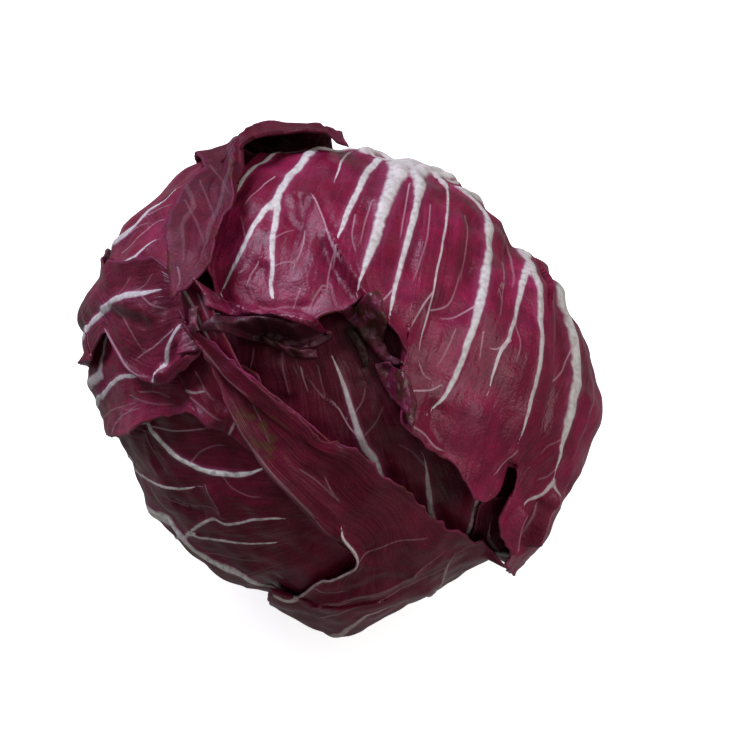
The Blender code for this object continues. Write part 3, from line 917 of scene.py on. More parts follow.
bpy.ops.mesh.select_all(action="SELECT")
bpy.ops.mesh.vertices_smooth(factor=0.5, repeat=HEART_SMOOTHED)
bpy.ops.object.mode_set(mode="OBJECT")
heart.data.vertices.foreach_get("co", heart_points)
heart_sheet = heart_points.reshape(-1, 1, 3) - np.array(MIDDLE)
heart_ways = normalised(heart_sheet)
heart_plan = Leaf(
    "heart", "heart_leaf", None, None, None,
    ribs=tuple(
        Rib(5.0, 1.6, 0.4, (
            (turn, 168), (turn + 4, 130), (turn + 2, 95), (turn + 10, 60), (turn + 22, 30),
        ), ())
        for turn in range(10, 370, 30)
    ),
    folds=tuple(Fold(HEART_RIM, 30.0, 0.0, 1.0, (), 0.0, line) for line in HEART_LINES),
)
heart_height, heart_loose, heart_read = relief(heart_plan, heart_ways, None)
heart_loose += 0.4 * ripple(heart_sheet, 14, 5)
heart_sheet = heart_sheet + heart_ways * ((heart_height + heart_loose) * MM)[..., None]
heart.data.vertices.foreach_set("co", (heart_sheet + np.array(MIDDLE)).ravel())
heart_fall = np.degrees(np.arccos(np.clip(heart_ways[..., 2], -1, 1)))
heart_read["margin"] = np.full(heart_fall.shape, 10.0)
heart_read["foot"] = 1 - heart_fall / 170
for attribute, values in heart_read.items():
    add_attribute(heart, attribute, values.ravel())
bpy.ops.object.shade_smooth()
finish_piece(heart, finishes["heart_leaf"], "heart")

# %% [markdown]
# ## The inner leaf in front
#
# Between the outer leaves an inner leaf shows, deep in shade. Its darker skin is painted shade.
# Its rib comes up from below and is listed from the stem upwards, as it grew. The branch that
# leaves it is thin enough to be a vein.

# %% leaf_front_inner
leaf_front_inner = Leaf(
    node="leaf_front_inner",
    finish="wine_leaf",
    skin="inner_painted_shade_leaf",
    left=Edge(((272, FOOT_FALL), (256, 110), (248, 74)), ((246, 420), (240, 385), (238, 350), (240, 322))),
    right=Edge(((340, FOOT_FALL), (356, 126), (352, 108), (346, 88), (340, 64), (338, 44), (350, 34))),
    rim=Edge((), ((240, 322), (262, 306), (300, 296), (345, 288), (385, 300)), ((350, 34),)),
    ribs=(
        Rib(4.5, 2.2, 0.4, ((288, FOOT_FALL), (287, 130), (287, 100)), (
            (378, 473), (370, 458), (361, 439), (353, 415), (346, 392), (339, 372), (333, 359), (327, 341),
        ), 0.78),
        Rib(3.4, 1.4, 0.7, ((300, FOOT_FALL), (298, 130), (296, 100)), (
            (432, 516), (430, 502), (428, 485), (426, 467), (421, 450),
        ), 0.5),
        Rib(3.0, 1.2, 0.7, ((316, FOOT_FALL), (314, 130), (310, 108)), (
            (469, 537), (473, 517), (477, 500), (479, 480), (470, 450),
        ), 0.45),
    ),
    veins=(
        Vein(0.9, ((371, 460), (363, 441), (350, 428), (339, 409), (329, 398))),
        Vein(0.45, ((301, 368), (304, 380), (308, 392))),
        Vein(0.25, ((353, 415), (362, 402), (366, 385))),
        Vein(0.25, ((361, 439), (374, 425), (384, 405))),
        Vein(0.25, ((339, 409), (322, 396), (308, 378))),
        Vein(0.2, ((426, 467), (412, 452), (398, 444))),
        Vein(0.35, ((253, 349), (252, 360), (249, 370))),
        Vein(0.2, ((282, 350), (284, 372), (290, 396))),
        Vein(0.2, ((318, 366), (322, 384), (326, 398))),
    ),
    folds=(
        Fold(0.0, 4.0, 0.5, 2.0, ((276, 350), (280, 375), (290, 400))),
        Fold(0.0, 4.0, -0.4, 2.0, ((310, 360), (320, 385), (332, 412))),
    ),
)
make_leaf(leaf_front_inner, seed=11)

# %% [markdown]
# ## The outer leaves
#
# The other leaves follow in the order in which they wrap the head. First comes the strip of an
# inner leaf that shows at the left, under the left leaves.

# %% leaf_left_inner
leaf_left_inner = Leaf(
    node="leaf_left_inner",
    finish="wine_leaf",
    left=Edge(((194, FOOT_FALL), (190, 110), (190, 76), (196, 54), (202, 44), (206, 34))),
    right=Edge(((234, FOOT_FALL), (234, 110), (234, 84), (238, 66), (244, 52), (250, 42), (256, 34))),
    rim=Edge(((206, 34), (224, 28), (238, 32), (256, 34))),
    ribs=(
        Rib(3.0, 0.9, 0.6, ((204, FOOT_FALL), (203, 110), (202, 80), (207, 58)), (
            (224, 436), (228, 428), (233, 419),
        ), 0.7),
        Rib(2.6, 0.8, 0.5, ((216, FOOT_FALL), (214, 110), (214, 80), (216, 62)), (
            (244, 450), (240, 440),
        ), 0.6),
        Rib(0.6, 0.6, 0.4, (), ((183, 390), (194, 392), (209, 390)), 0.75),
    ),
    veins=(
        Vein(0.3, ((200, 400), (205, 412), (215, 425))),
        Vein(0.3, ((190, 398), (198, 402), (206, 400))),
    ),
)
make_leaf(leaf_left_inner, seed=21)

# %% [markdown]
# ## A leaf seen through the gap
#
# At the lower right two rims part, and a leaf shows deep in shade between them. Its nearly
# black skin is painted shade. It has no solid of its own. Two ridges swell it towards the gap,
# so that nothing shows behind it.

# %% leaf_in_gap
leaf_in_gap = Leaf(
    node="heart",
    finish="wine_leaf",
    skin="deep_shade_leaf",
    piece="leaf_in_gap",
    left=Edge(((324, FOOT_FALL), (310, 140), (299, 118), (297, 100)), ((476, 530), (480, 508))),
    right=Edge(((352, FOOT_FALL), (348, 140), (338, 118), (332, 98)), ((518, 530), (512, 500))),
    rim=Edge((), ((480, 508), (496, 502), (512, 500))),
    ribs=(Rib(3.0, 0.8, 0.5, ((340, FOOT_FALL), (330, 130)), ((496, 560), (490, 540), (490, 520)), 0.25),),
    folds=(
        Fold(0.0, 4.0, 6.0, 6.0, (), 0.0, ((304, 104), (312, 105), (318, 105), (325, 103), (332, 101))),
        Fold(0.0, 4.0, 9.0, 2.8, (), 0.0, ((308, 80), (311, 86), (313, 92), (314.5, 99), (316, 108))),
        Fold(0.0, 4.0, -1.2, 2.0, ((498, 548), (496, 535), (498, 515))),
    ),
    teeth=(0.0, 0.0, 0.0),
    lift=(0.0, 0.0, 0.0),
)
make_leaf(leaf_in_gap, seed=25)

# %% [markdown]
# ## The leaf along the right
#
# Its broad rib follows the head's right edge and forks near the tip. There the photograph
# shows the blade gathered in folds, so four ridges and grooves run down to the tip.

# %% leaf_right
leaf_right = Leaf(
    node="leaf_right",
    finish="burgundy_leaf",
    left=Edge((
        (40, FOOT_FALL), (36, 112), (34, 84), (22, 66), (4, 55), (346, 51), (331, 51), (320, 55),
    )),
    right=Edge(((356, FOOT_FALL), (358, 136), (346, 126), (336, 118), (326, 110), (318, 102)), ((513, 574),)),
    rim=Edge(((320, 55),), (
        (517, 470), (515, 489), (508, 506), (500, 519), (500, 530), (506, 545), (510, 556), (506, 566),
        (513, 574),
    )),
    ribs=(
        Rib(8.0, 5.0, 1.5, ((56, FOOT_FALL), (50, 135), (40, 112), (29, 94)), (
            (560, 298), (567, 309), (572, 325), (576, 345), (578, 371), (575, 392), (571, 415),
            (566, 430), (560, 452), (557, 467), (554, 482),
        )),
        Rib(0.8, 0.8, 0.5, (), ((554, 482), (558, 492), (561, 502), (560, 512)), 0.6),
        Rib(1.1, 1.1, 0.5, (), ((554, 482), (543, 493), (530, 499), (525, 508)), 0.8),
        Rib(3.6, 0.8, 0.5, ((20, FOOT_FALL), (12, 135), (4, 114), (358, 100), (352, 88)), (), 0.3),
    ),
    veins=(
        Vein(0.7, ((574, 342), (571, 350), (564, 367), (557, 378), (546, 388))),
        Vein(0.45, ((592, 370), (595, 390), (592, 415), (584, 440))),
        Vein(0.35, ((558, 467), (548, 476), (537, 480))),
        Vein(0.4, ((560, 500), (552, 522), (540, 540), (530, 552))),
        Vein(0.3, ((540, 505), (530, 525), (520, 545))),
        Vein(0.3, ((569, 430), (560, 440), (548, 446), (540, 455))),
        Vein(0.3, ((556, 330), (553, 360), (547, 400), (538, 440))),
        Vein(0.25, ((549, 320), (550, 350), (545, 385))),
    ),
    folds=(
        Fold(0.0, 3.0, 2.6, 1.8, ((527, 506), (522, 520), (516, 536), (511, 552)), 0.3),
        Fold(0.0, 3.0, -2.0, 2.2, ((546, 498), (538, 518), (526, 540), (516, 556))),
        Fold(0.0, 3.0, 2.4, 1.8, ((557, 488), (555, 506), (545, 526), (532, 548)), 0.3),
        Fold(0.0, 3.0, -1.4, 1.6, ((567, 496), (563, 512), (552, 532))),
        Fold(0.0, 3.0, -0.5, 1.2, ((556, 310), (554, 350), (549, 395), (540, 440), (530, 470))),
        Fold(0.0, 3.0, 1.0, 1.4, ((588, 388), (585, 420), (574, 455), (566, 490))),
        Fold(0.0, 3.0, -0.8, 1.4, ((580, 430), (572, 465), (566, 495))),
    ),
    teeth=(0.8, 0.0, 1.2),
    lift=(1.2, 0.0, 0.8),
)
make_leaf(leaf_right, seed=31)

# %% [markdown]
# ## The big leaf over the crown
#
# This leaf shows most. Its midrib climbs the back of the head and fans out over the crown. It
# gets the finer grid, because its ribs run sharp and white from the top edge to its rim. A fold
# with a pale ridge crosses it where its left part tucks under its right part.

# %% leaf_over_crown
leaf_over_crown = Leaf(
    node="leaf_over_crown",
    finish="burgundy_leaf",
    left=Edge(((92, FOOT_FALL), (92, 110), (100, 80), (113, 58), (132, 41), (158, 33)), (
        (214, 279), (220, 299),
    )),
    right=Edge(((40, FOOT_FALL), (22, 108), (24, 80), (16, 62), (358, 57), (342, 56), (330, 56)), (
        (519, 456),
    )),
    rim=Edge((), (
        (220, 299), (224, 315), (230, 323), (246, 322), (261, 319), (281, 322), (298, 325), (309, 323),
        (321, 316), (334, 312), (346, 309), (357, 300), (364, 297), (376, 311), (392, 331), (407, 352),
        (405, 363), (402, 378), (405, 400), (401, 420), (407, 430), (417, 437), (434, 452), (450, 461),
        (462, 474), (469, 489), (476, 497), (484, 502), (493, 499), (502, 491), (510, 480), (519, 456),
    )),
    ribs=(
        # The midrib, up the back of the head, and the rib that goes on from it.
        Rib(8.0, 4.2, 1.0, ((66, FOOT_FALL), (66, 140), (67, 106), (68, 74)), (
            (400, 164), (394, 181), (387, 198), (381, 216), (376, 237), (368, 257), (362, 276), (358, 288),
            (359, 296), (357, 305),
        )),
        Rib(5.5, 3.2, 0.6, ((74, 140), (80, 105), (86, 70)), (
            (343, 139), (328, 144), (317, 150), (304, 161), (291, 174), (282, 187), (277, 199), (270, 204),
            (262, 214), (254, 227), (246, 241), (237, 260), (228, 277), (221, 288), (220, 296), (225, 307),
        )),
        Rib(1.5, 1.5, 0.8, (), (
            (277, 196), (277, 212), (274, 230), (272, 249), (273, 268), (271, 286), (274, 303),
        )),
        Rib(1.5, 1.5, 0.7, (), (
            (330, 143), (321, 144), (302, 146), (284, 151), (265, 160), (250, 171), (243, 180), (234, 197),
        )),
        Rib(3.0, 4.5, 1.5, (), (
            (364, 152), (380, 155), (398, 160), (416, 167), (430, 170), (444, 177),
        ), 0.95),
        Rib(8.0, 6.5, 1.0, ((68, 80),), ((401, 163), (399, 172), (394, 184), (387, 198))),
        Rib(6.0, 4.4, 0.8, ((64, 80),), ((418, 171), (420, 182), (418, 196), (415, 212))),
        Rib(4.0, 2.6, 0.5, ((60, 80),), ((437, 174), (444, 182), (447, 192))),
        Rib(3.2, 1.0, 0.3, ((70, 80),), (
            (377, 155), (363, 150), (352, 151), (343, 159), (338, 172), (332, 186),
        ), 0.9),
        Rib(3.5, 2.1, 0.9, ((69, 92), (70, 66)), (
            (386, 158), (376, 162), (367, 172), (359, 189), (350, 207), (343, 225), (336, 248),
        )),
        Rib(4.0, 2.2, 0.6, ((64, 100), (62, 70)), (
            (418, 172), (419, 190), (415, 212), (409, 235), (404, 253), (399, 272), (395, 287),
            (392, 304), (388, 328),
        )),
        Rib(2.6, 0.7, 0.3, ((60, 104), (57, 72)), (
            (436, 174), (445, 186), (448, 199), (446, 222), (443, 240), (439, 261), (435, 281), (432, 298),
            (427, 319), (421, 339), (419, 358),
        ), 0.8),
        Rib(7.0, 3.3, 0.8, ((58, 150), (52, 110), (50, 76)), (
            (460, 190), (475, 200), (486, 214), (489, 231), (489, 250), (487, 268), (483, 287), (478, 309),
            (473, 330), (465, 350), (458, 371), (449, 389), (439, 403), (428, 415), (417, 426),
        )),
        Rib(3.4, 1.9, 0.4, ((44, 140), (37, 106), (32, 78)), (
            (528, 256), (523, 278), (519, 298), (514, 320), (508, 339), (501, 350), (495, 367),
            (491, 382), (486, 407),
        ), 0.9),
        Rib(5.0, 2.2, 0.6, ((46, 152), (40, 112), (36, 84), (30, 68)), (
            (528, 256), (534, 268), (539, 287), (541, 311), (542, 334), (541, 356), (538, 376), (533, 394),
            (526, 417), (520, 439), (516, 454),
        ), 0.88),
    ),
    veins=(
        Vein(0.7, ((274, 176), (257, 191), (244, 206))),
        Vein(0.9, ((433, 292), (424, 304), (415, 320), (407, 332))),
        Vein(0.6, ((432, 310), (448, 305), (456, 291), (461, 270))),
        Vein(0.8, ((393, 289), (385, 298), (376, 305))),
        Vein(0.7, ((475, 306), (463, 313), (452, 318), (440, 318))),
        Vein(0.8, ((510, 341), (497, 349), (490, 348))),
        Vein(0.5, ((336, 250), (331, 259), (328, 278), (327, 289))),
        Vein(0.6, ((410, 182), (405, 210), (400, 240))),
        Vein(0.45, ((503, 262), (502, 280), (497, 295))),
        Vein(0.55, ((505, 278), (503, 300), (499, 318))),
        Vein(0.5, ((484, 332), (482, 345), (480, 360))),
        Vein(0.45, ((514, 320), (520, 340), (516, 362))),
        Vein(0.9, ((405, 395), (414, 391), (430, 390), (444, 384))),
        Vein(0.5, ((420, 365), (424, 375), (432, 380))),
        Vein(0.5, ((305, 232), (303, 246), (296, 262), (292, 272))),
        Vein(0.5, ((258, 262), (250, 275), (246, 288))),
        Vein(0.4, ((273, 268), (284, 262), (298, 262))),
        Vein(0.4, ((274, 240), (284, 232), (296, 230))),
        Vein(0.4, ((246, 241), (243, 225), (240, 214))),
        Vein(0.35, ((300, 290), (296, 300), (292, 310))),
        Vein(0.35, ((322, 285), (314, 298), (308, 310))),
        Vein(0.5, ((355, 215), (352, 235), (356, 252))),
        Vein(0.4, ((372, 200), (365, 222), (360, 245))),
        Vein(0.4, ((430, 205), (428, 232), (420, 262), (412, 285))),
        Vein(0.4, ((465, 215), (466, 250), (462, 282))),
        Vein(0.4, ((505, 235), (513, 262), (512, 290))),
        Vein(0.35, ((455, 330), (446, 352), (436, 368))),
    ),
    folds=(
        Fold(3.4, 9.0, 0.4, 0.9, (
            (326, 226), (334, 250), (346, 272), (355, 285), (363, 295), (376, 311), (392, 331), (407, 352),
        )),
        Fold(0.0, 4.0, 1.1, 1.0, (
            (310, 192), (318, 208), (324, 222), (329, 238), (335, 252), (344, 266),
        ), 0.7),
        Fold(0.0, 4.0, -0.6, 1.5, ((318, 186), (321, 203), (327, 220), (337, 238))),
        Fold(0.0, 4.0, -0.9, 1.8, ((322, 236), (330, 258), (342, 280), (354, 296), (366, 308))),
        Fold(0.0, 4.0, 0.7, 1.2, ((519, 448), (512, 456), (503, 466), (494, 477)), 0.45),
        Fold(0.0, 4.0, 0.9, 1.2, ((405, 424), (414, 427), (424, 434), (434, 446), (446, 452)), 0.5),
        Fold(0.0, 4.0, -0.6, 2.0, ((440, 402), (430, 420), (440, 432))),
        Fold(0.0, 3.0, -0.9, 0.8, ((298, 192), (301, 206), (299, 222))),
        Fold(0.0, 3.0, -1.0, 0.8, ((316, 196), (308, 206), (304, 216), (300, 232), (291, 254))),
        Fold(0.0, 3.0, -0.8, 0.8, ((285, 212), (292, 222), (298, 230))),
        Fold(0.0, 3.0, -0.7, 0.9, ((424, 190), (422, 220), (414, 250), (408, 280))),
        Fold(0.0, 3.0, -0.7, 0.9, ((470, 206), (474, 236), (472, 268), (466, 300))),
        Fold(0.0, 3.0, 0.7, 1.0, ((458, 204), (460, 236), (456, 270), (448, 300))),
        Fold(0.0, 3.0, -0.7, 0.9, ((505, 240), (509, 262), (507, 290), (500, 320))),
        Fold(0.0, 3.0, -0.6, 1.8, ((264, 262), (258, 274), (250, 285))),
        Fold(0.0, 3.0, 0.6, 1.4, ((240, 268), (234, 284), (232, 300))),
        Fold(0.0, 3.0, -0.5, 1.0, ((330, 272), (322, 290), (312, 306))),
        Fold(0.0, 3.0, 0.9, 1.2, ((232, 304), (250, 311), (268, 318), (284, 314), (300, 318))),
        Fold(0.0, 3.0, -0.7, 1.2, ((250, 304), (270, 308), (290, 306), (310, 308))),
    ),
    teeth=(0.9, 0.6, 0.0),
    lift=(1.9, 0.5, -1.0),
)
make_leaf(leaf_over_crown, cell=FINE_CELL, seed=41)

# %% [markdown]
# ## The leaf at the lower left
#
# Three ribs sweep from the outline down and to the right, and the lowest is the broadest. Two
# thin ones run between them. Its teeth and its lift are the default ones.

# %% leaf_low_left
leaf_low_left = Leaf(
    node="leaf_low_left",
    finish="wine_leaf",
    left=Edge((
        (184, FOOT_FALL), (178, 112), (184, 84), (196, 64), (207, 52), (220, 42), (236, 36), (250, 34),
    )),
    right=Edge((
        (257, FOOT_FALL), (256, 134), (262, 120), (268, 110), (275, 101), (281, 92), (286, 83), (288, 74),
    )),
    rim=Edge(((250, 34), (252, 42), (256, 46), (261, 52), (274, 64), (288, 74))),
    ribs=(
        Rib(4.5, 1.5, 1.1, ((196, FOOT_FALL), (190, 130), (190, 106)), (
            (140, 421), (146, 425), (157, 437), (168, 449), (184, 461), (200, 469), (219, 473), (238, 475),
            (262, 469), (278, 460),
        )),
        Rib(3.4, 1.0, 0.5, ((201, FOOT_FALL), (195, 134), (196, 112)), (
            (130, 456), (134, 467), (142, 476), (153, 482), (164, 486), (179, 489), (194, 487), (206, 486),
        ), 0.8),
        Rib(7.0, 4.0, 1.8, ((206, FOOT_FALL), (200, 142), (203, 122), (208, 106)), (
            (168, 521), (184, 539), (203, 555), (222, 567), (245, 576), (268, 587), (290, 598),
        ), 0.95),
        Rib(1.2, 1.2, 0.4, (), (
            (176, 538), (189, 534), (201, 538), (220, 540), (242, 543), (265, 543), (284, 542),
        ), 0.8),
        Rib(1.0, 1.0, 0.4, (), (
            (186, 536), (198, 526), (213, 519), (224, 524), (239, 523), (257, 519), (274, 518), (290, 519),
        ), 0.75),
    ),
    veins=(
        Vein(0.85, ((150, 426), (157, 428), (175, 431), (194, 430), (208, 428))),
        Vein(0.45, ((206, 486), (209, 491), (216, 504), (222, 517))),
        Vein(0.35, ((145, 432), (150, 445), (158, 460), (170, 475))),
        Vein(0.35, ((155, 480), (165, 495), (180, 505), (200, 510))),
        Vein(0.3, ((175, 500), (190, 505), (206, 506), (218, 512))),
        Vein(0.3, ((222, 475), (232, 488), (248, 496), (262, 497))),
        Vein(0.3, ((190, 463), (200, 452), (214, 446), (226, 446))),
        Vein(0.3, ((205, 552), (222, 556), (242, 560), (262, 562))),
        Vein(0.3, ((150, 485), (160, 505), (172, 520))),
    ),
    folds=(
        Fold(0.0, 4.0, 0.8, 1.2, ((206, 484), (212, 496), (219, 508), (222, 520))),
        Fold(0.0, 4.0, -0.7, 1.5, ((170, 500), (190, 508), (208, 514))),
        Fold(0.0, 4.0, 0.5, 1.5, ((145, 425), (147, 445), (152, 462), (160, 478))),
        Fold(0.0, 4.0, -0.5, 1.5, ((158, 520), (172, 516), (190, 512))),
    ),
)
make_leaf(leaf_low_left, seed=51)

# %% [markdown]
# ## The leaf at the upper left
#
# Only a band of it shows, between the outline and the folded leaf that lies over it.

# %% leaf_upper_left
leaf_upper_left = Leaf(
    node="leaf_upper_left",
    finish="burgundy_leaf",
    left=Edge(((112, FOOT_FALL), (108, 110), (110, 84), (118, 64), (130, 50), (142, 40))),
    right=Edge(((166, FOOT_FALL), (164, 110), (168, 86), (171, 66), (176, 54), (184, 42))),
    rim=Edge(((142, 40), (156, 38), (170, 38), (184, 42))),
    ribs=(
        Rib(4.5, 1.6, 0.8, ((168, FOOT_FALL), (162, 130), (155, 98)), (
            (118, 240), (124, 235), (136, 224), (142, 219), (151, 210), (164, 200), (175, 190), (189, 180),
        )),
        Rib(3.6, 1.0, 0.8, ((174, FOOT_FALL), (168, 130), (161, 98)), (
            (116, 268), (126, 263), (134, 258), (138, 254), (146, 247), (153, 240), (165, 237),
        )),
    ),
    veins=(
        Vein(0.6, ((122, 252), (133, 243), (144, 232), (155, 223), (167, 219))),
        Vein(0.4, ((130, 232), (140, 226), (150, 222))),
        Vein(0.35, ((150, 215), (160, 208), (172, 204))),
    ),
)
make_leaf(leaf_upper_left, seed=61)

# %% [markdown]
# ## The leaf under the left one
#
# It shows below the curled margin of the next leaf. One broad rib comes round the outline, and
# a narrower one crosses the part that shows.

# %% leaf_left_under
leaf_left_under = Leaf(
    node="leaf_left_under",
    finish="burgundy_leaf",
    left=Edge(((162, FOOT_FALL), (157, 110), (161, 84), (170, 64), (182, 50), (194, 40), (205, 33))),
    right=Edge(((198, FOOT_FALL), (190, 124), (187, 108)), (
        (123, 436), (134, 428), (147, 421), (161, 417), (175, 415), (190, 412),
    ), ((227, 43),)),
    rim=Edge(((205, 33), (213, 35), (220, 38), (227, 43))),
    ribs=(
        Rib(6.0, 2.2, 1.2, ((186, FOOT_FALL), (181, 112)), (
            (98, 378), (100, 366), (102, 356), (105, 338), (112, 326),
        ), 0.8),
        Rib(4.0, 1.4, 0.6, ((194, FOOT_FALL), (188, 112)), (
            (98, 403), (102, 397), (112, 384), (125, 376), (135, 376), (150, 374), (168, 374),
        )),
    ),
    veins=(
        Vein(0.4, ((112, 432), (118, 420), (128, 412), (140, 408))),
        Vein(0.4, ((140, 392), (155, 392), (172, 398))),
        Vein(0.3, ((130, 395), (140, 400), (156, 404), (176, 404))),
        Vein(0.3, ((103, 418), (112, 410), (124, 406), (138, 402))),
    ),
    folds=(Fold(0.0, 4.0, 0.5, 2.0, ((128, 384), (140, 394), (160, 402), (180, 404))),),
)
make_leaf(leaf_left_under, seed=71)

# %% [markdown]
# ## A strip at the left
#
# Between two rims a narrow dark strip of leaf shows. It has no solid of its own and lies on
# the leaf under it. It is spanned by pixels alone, since none of it is hidden.

# %% strip_at_left
strip_at_left = Leaf(
    node="leaf_left_under",
    finish="wine_leaf",
    piece="strip_at_left",
    left=Edge((), ((262, 462), (240, 448), (216, 432), (193, 408), (179, 380), (168, 350))),
    right=Edge((), ((290, 450), (268, 434), (250, 420), (236, 392), (222, 366), (206, 340))),
    rim=Edge((), ((168, 350), (186, 344), (206, 340))),
    ribs=(
        Rib(0.6, 0.6, 0.5, (), ((224, 438), (229, 428), (234, 419)), 0.35),
        Rib(0.5, 0.5, 0.4, (), ((186, 391), (194, 393), (205, 391)), 0.35),
    ),
    veins=(Vein(0.3, ((195, 372), (202, 386), (212, 402))), Vein(0.25, ((190, 398), (204, 410), (220, 424)))),
    folds=(Fold(0.0, 3.0, -0.8, 1.2, ((194, 372), (206, 392), (222, 416))),),
    teeth=(0.0, 0.3, 0.0),
    lift=(0.0, 0.5, 0.0),
)
make_leaf(strip_at_left, seed=75)

# %% [markdown]
# ## The leaf at the left
#
# Its lower margin curls up, with a pale rib beside it. It lies in the shade of the folded leaf
# and is a little darker than the other burgundy ones, so it has a darker skin of its own: painted shade.

# %% leaf_left
leaf_left = Leaf(
    node="leaf_left",
    finish="burgundy_leaf",
    skin="painted_shade_leaf",
    left=Edge(((146, FOOT_FALL), (146, 110), (151, 84)), (
        (103, 265), (110, 260), (122, 261), (133, 259), (144, 258), (153, 258), (166, 268),
    ), ((174, 35),)),
    right=Edge(((176, FOOT_FALL), (171, 122), (172, 104)), (
        (88, 361), (91, 356), (97, 346), (101, 336), (106, 333), (112, 345), (125, 365), (136, 376),
        (145, 382), (154, 385), (167, 382), (177, 373), (187, 365), (196, 358), (200, 350),
    ), ((203, 37),)),
    rim=Edge(((174, 35), (188, 34), (203, 37))),
    ribs=(
        Rib(5.5, 1.9, 1.3, ((168, FOOT_FALL), (168, 110)), (
            (78, 345), (83, 328), (95, 316), (109, 303), (125, 295), (143, 292), (155, 290), (169, 287),
        )),
        Rib(1.0, 1.0, 0.7, (), (
            (150, 381), (154, 375), (161, 366), (168, 349), (173, 335), (181, 323),
        ), 0.85),
    ),
    veins=(
        Vein(0.5, ((172, 330), (163, 338), (153, 347), (142, 354), (134, 360))),
        Vein(0.6, ((105, 329), (113, 344), (122, 359), (134, 373), (149, 378))),
        Vein(0.4, ((138, 293), (150, 304), (164, 308))),
        Vein(0.3, ((110, 305), (122, 320), (132, 336), (142, 350))),
        Vein(0.3, ((125, 296), (140, 284), (152, 272))),
        Vein(0.3, ((110, 305), (118, 288), (128, 274))),
    ),
    folds=(
        Fold(0.0, 4.0, 1.3, 1.2, ((196, 356), (184, 358), (172, 366), (162, 374), (150, 378))),
        Fold(0.0, 4.0, -1.1, 1.5, ((180, 345), (170, 358), (160, 368))),
        Fold(0.0, 4.0, -0.6, 1.6, ((125, 305), (140, 322), (150, 342))),
    ),
    lift=(0.6, 0.6, 0.7),
)
make_leaf(leaf_left, seed=81)

# %% [markdown]
# ## Under the diagonal leaf
#
# Along the upper edge of the diagonal leaf a narrow strip of another leaf shows. It has no
# solid of its own: it lies on what is under it, and rides along.

# %% strip_under_diagonal
strip_under_diagonal = Leaf(
    node="leaf_diagonal",
    finish="wine_leaf",
    piece="strip_under_diagonal",
    left=Edge((), ((180, 300), (190, 330), (215, 365), (250, 400), (290, 430), (330, 455))),
    right=Edge((), (
        (186, 280), (198, 281), (212, 300), (221, 323), (232, 345), (242, 369), (262, 384), (340, 450),
    )),
    rim=Edge((), ((330, 455), (335, 453), (340, 450))),
    ribs=(Rib(0.7, 0.7, 0.4, (), ((186, 292), (198, 312), (208, 336), (218, 356)), 0.35),),
    veins=(Vein(0.3, ((200, 296), (210, 318), (220, 340))),),
    teeth=(0.0, 0.0, 0.3),
    lift=(0.0, 0.0, 0.3),
)
make_leaf(strip_under_diagonal, seed=85)

# %% [markdown]
# ## The diagonal leaf
#
# This leaf crosses the front from the left down to the right. It gets the finer grid, because
# its long rim is seen against the dark leaves under it. Three stains mark where it is bruised.

# %% leaf_diagonal
leaf_diagonal = Leaf(
    node="leaf_diagonal",
    finish="wine_leaf",
    left=Edge(((258, FOOT_FALL), (255, 132), (252, 118)), (
        (268, 594), (276, 598), (291, 601), (311, 588), (330, 581), (343, 576), (353, 570), (357, 562),
        (353, 553), (344, 546), (324, 534), (302, 512), (283, 491), (265, 472), (250, 450), (239, 433),
        (230, 411), (222, 389), (211, 370), (197, 342), (182, 322),
    )),
    right=Edge(((302, FOOT_FALL), (309, 140), (313, 124)), (
        (494, 553), (475, 543), (461, 532), (449, 530), (442, 523), (432, 517), (419, 504), (407, 491),
        (394, 482), (380, 474), (363, 455), (344, 446), (318, 439), (309, 426), (288, 409), (270, 394),
        (257, 385), (242, 370), (232, 363), (209, 342), (188, 326), (176, 308),
    )),
    rim=Edge((), ((182, 322), (178, 316), (176, 308))),
    ribs=(
        Rib(5.0, 1.0, 0.5, ((262, FOOT_FALL), (262, 134), (265, 116)), (
            (360, 620), (380, 611), (404, 600),
        ), 0.5),
        Rib(1.2, 1.2, 0.5, (), (
            (276, 597), (292, 600), (311, 587), (328, 581), (343, 575), (353, 570), (357, 562),
            (355, 553), (349, 545), (343, 537), (341, 526),
        ), 0.7),
        Rib(4.0, 1.0, 0.5, ((290, FOOT_FALL), (292, 126)), ((440, 588), (446, 570), (457, 550)), 0.25),
    ),
    veins=(
        Vein(0.4, ((320, 618), (348, 610), (376, 603), (404, 588), (432, 575), (460, 560))),
        Vein(0.35, ((330, 606), (360, 600), (390, 590), (420, 572), (448, 548))),
        Vein(0.4, ((313, 588), (326, 593), (347, 592))),
        Vein(0.3, ((197, 342), (212, 362), (228, 380), (250, 398))),
        Vein(0.35, ((230, 411), (246, 440), (266, 466), (290, 492), (318, 520))),
        Vein(0.3, ((360, 560), (380, 548), (404, 540), (430, 538))),
        Vein(0.25, ((300, 470), (318, 482), (336, 500))),
        Vein(0.25, ((250, 405), (262, 425), (270, 445))),
        Vein(0.3, ((325, 478), (332, 492), (340, 503))),
    ),
    folds=(
        Fold(0.0, 5.0, 1.0, 1.2, (
            (197, 342), (211, 372), (224, 398), (240, 430), (262, 464), (290, 494), (320, 526), (340, 545),
        ), 0.2),
        Fold(0.0, 5.0, 1.3, 1.2, (
            (320, 583), (340, 577), (353, 570), (357, 562), (352, 550), (343, 538), (341, 524),
        )),
        Fold(0.0, 5.0, -0.8, 1.5, ((335, 566), (344, 560), (340, 550))),
        Fold(0.0, 5.0, 0.7, 1.5, ((300, 606), (330, 604), (365, 596), (400, 584), (430, 566)), 0.2),
        Fold(0.0, 5.0, -0.7, 1.5, ((310, 598), (335, 596), (360, 588), (390, 574))),
        Fold(0.0, 5.0, -0.6, 2.0, ((365, 545), (372, 560), (376, 575))),
    ),
    stains=(Stain((262, 430), 5.0), Stain((250, 415), 3.0), Stain((272, 446), 3.0)),
    teeth=(0.6, 0.3, 1.2),
    lift=(0.4, 0.0, 0.7),
)
make_leaf(leaf_diagonal, cell=FINE_CELL, seed=91)

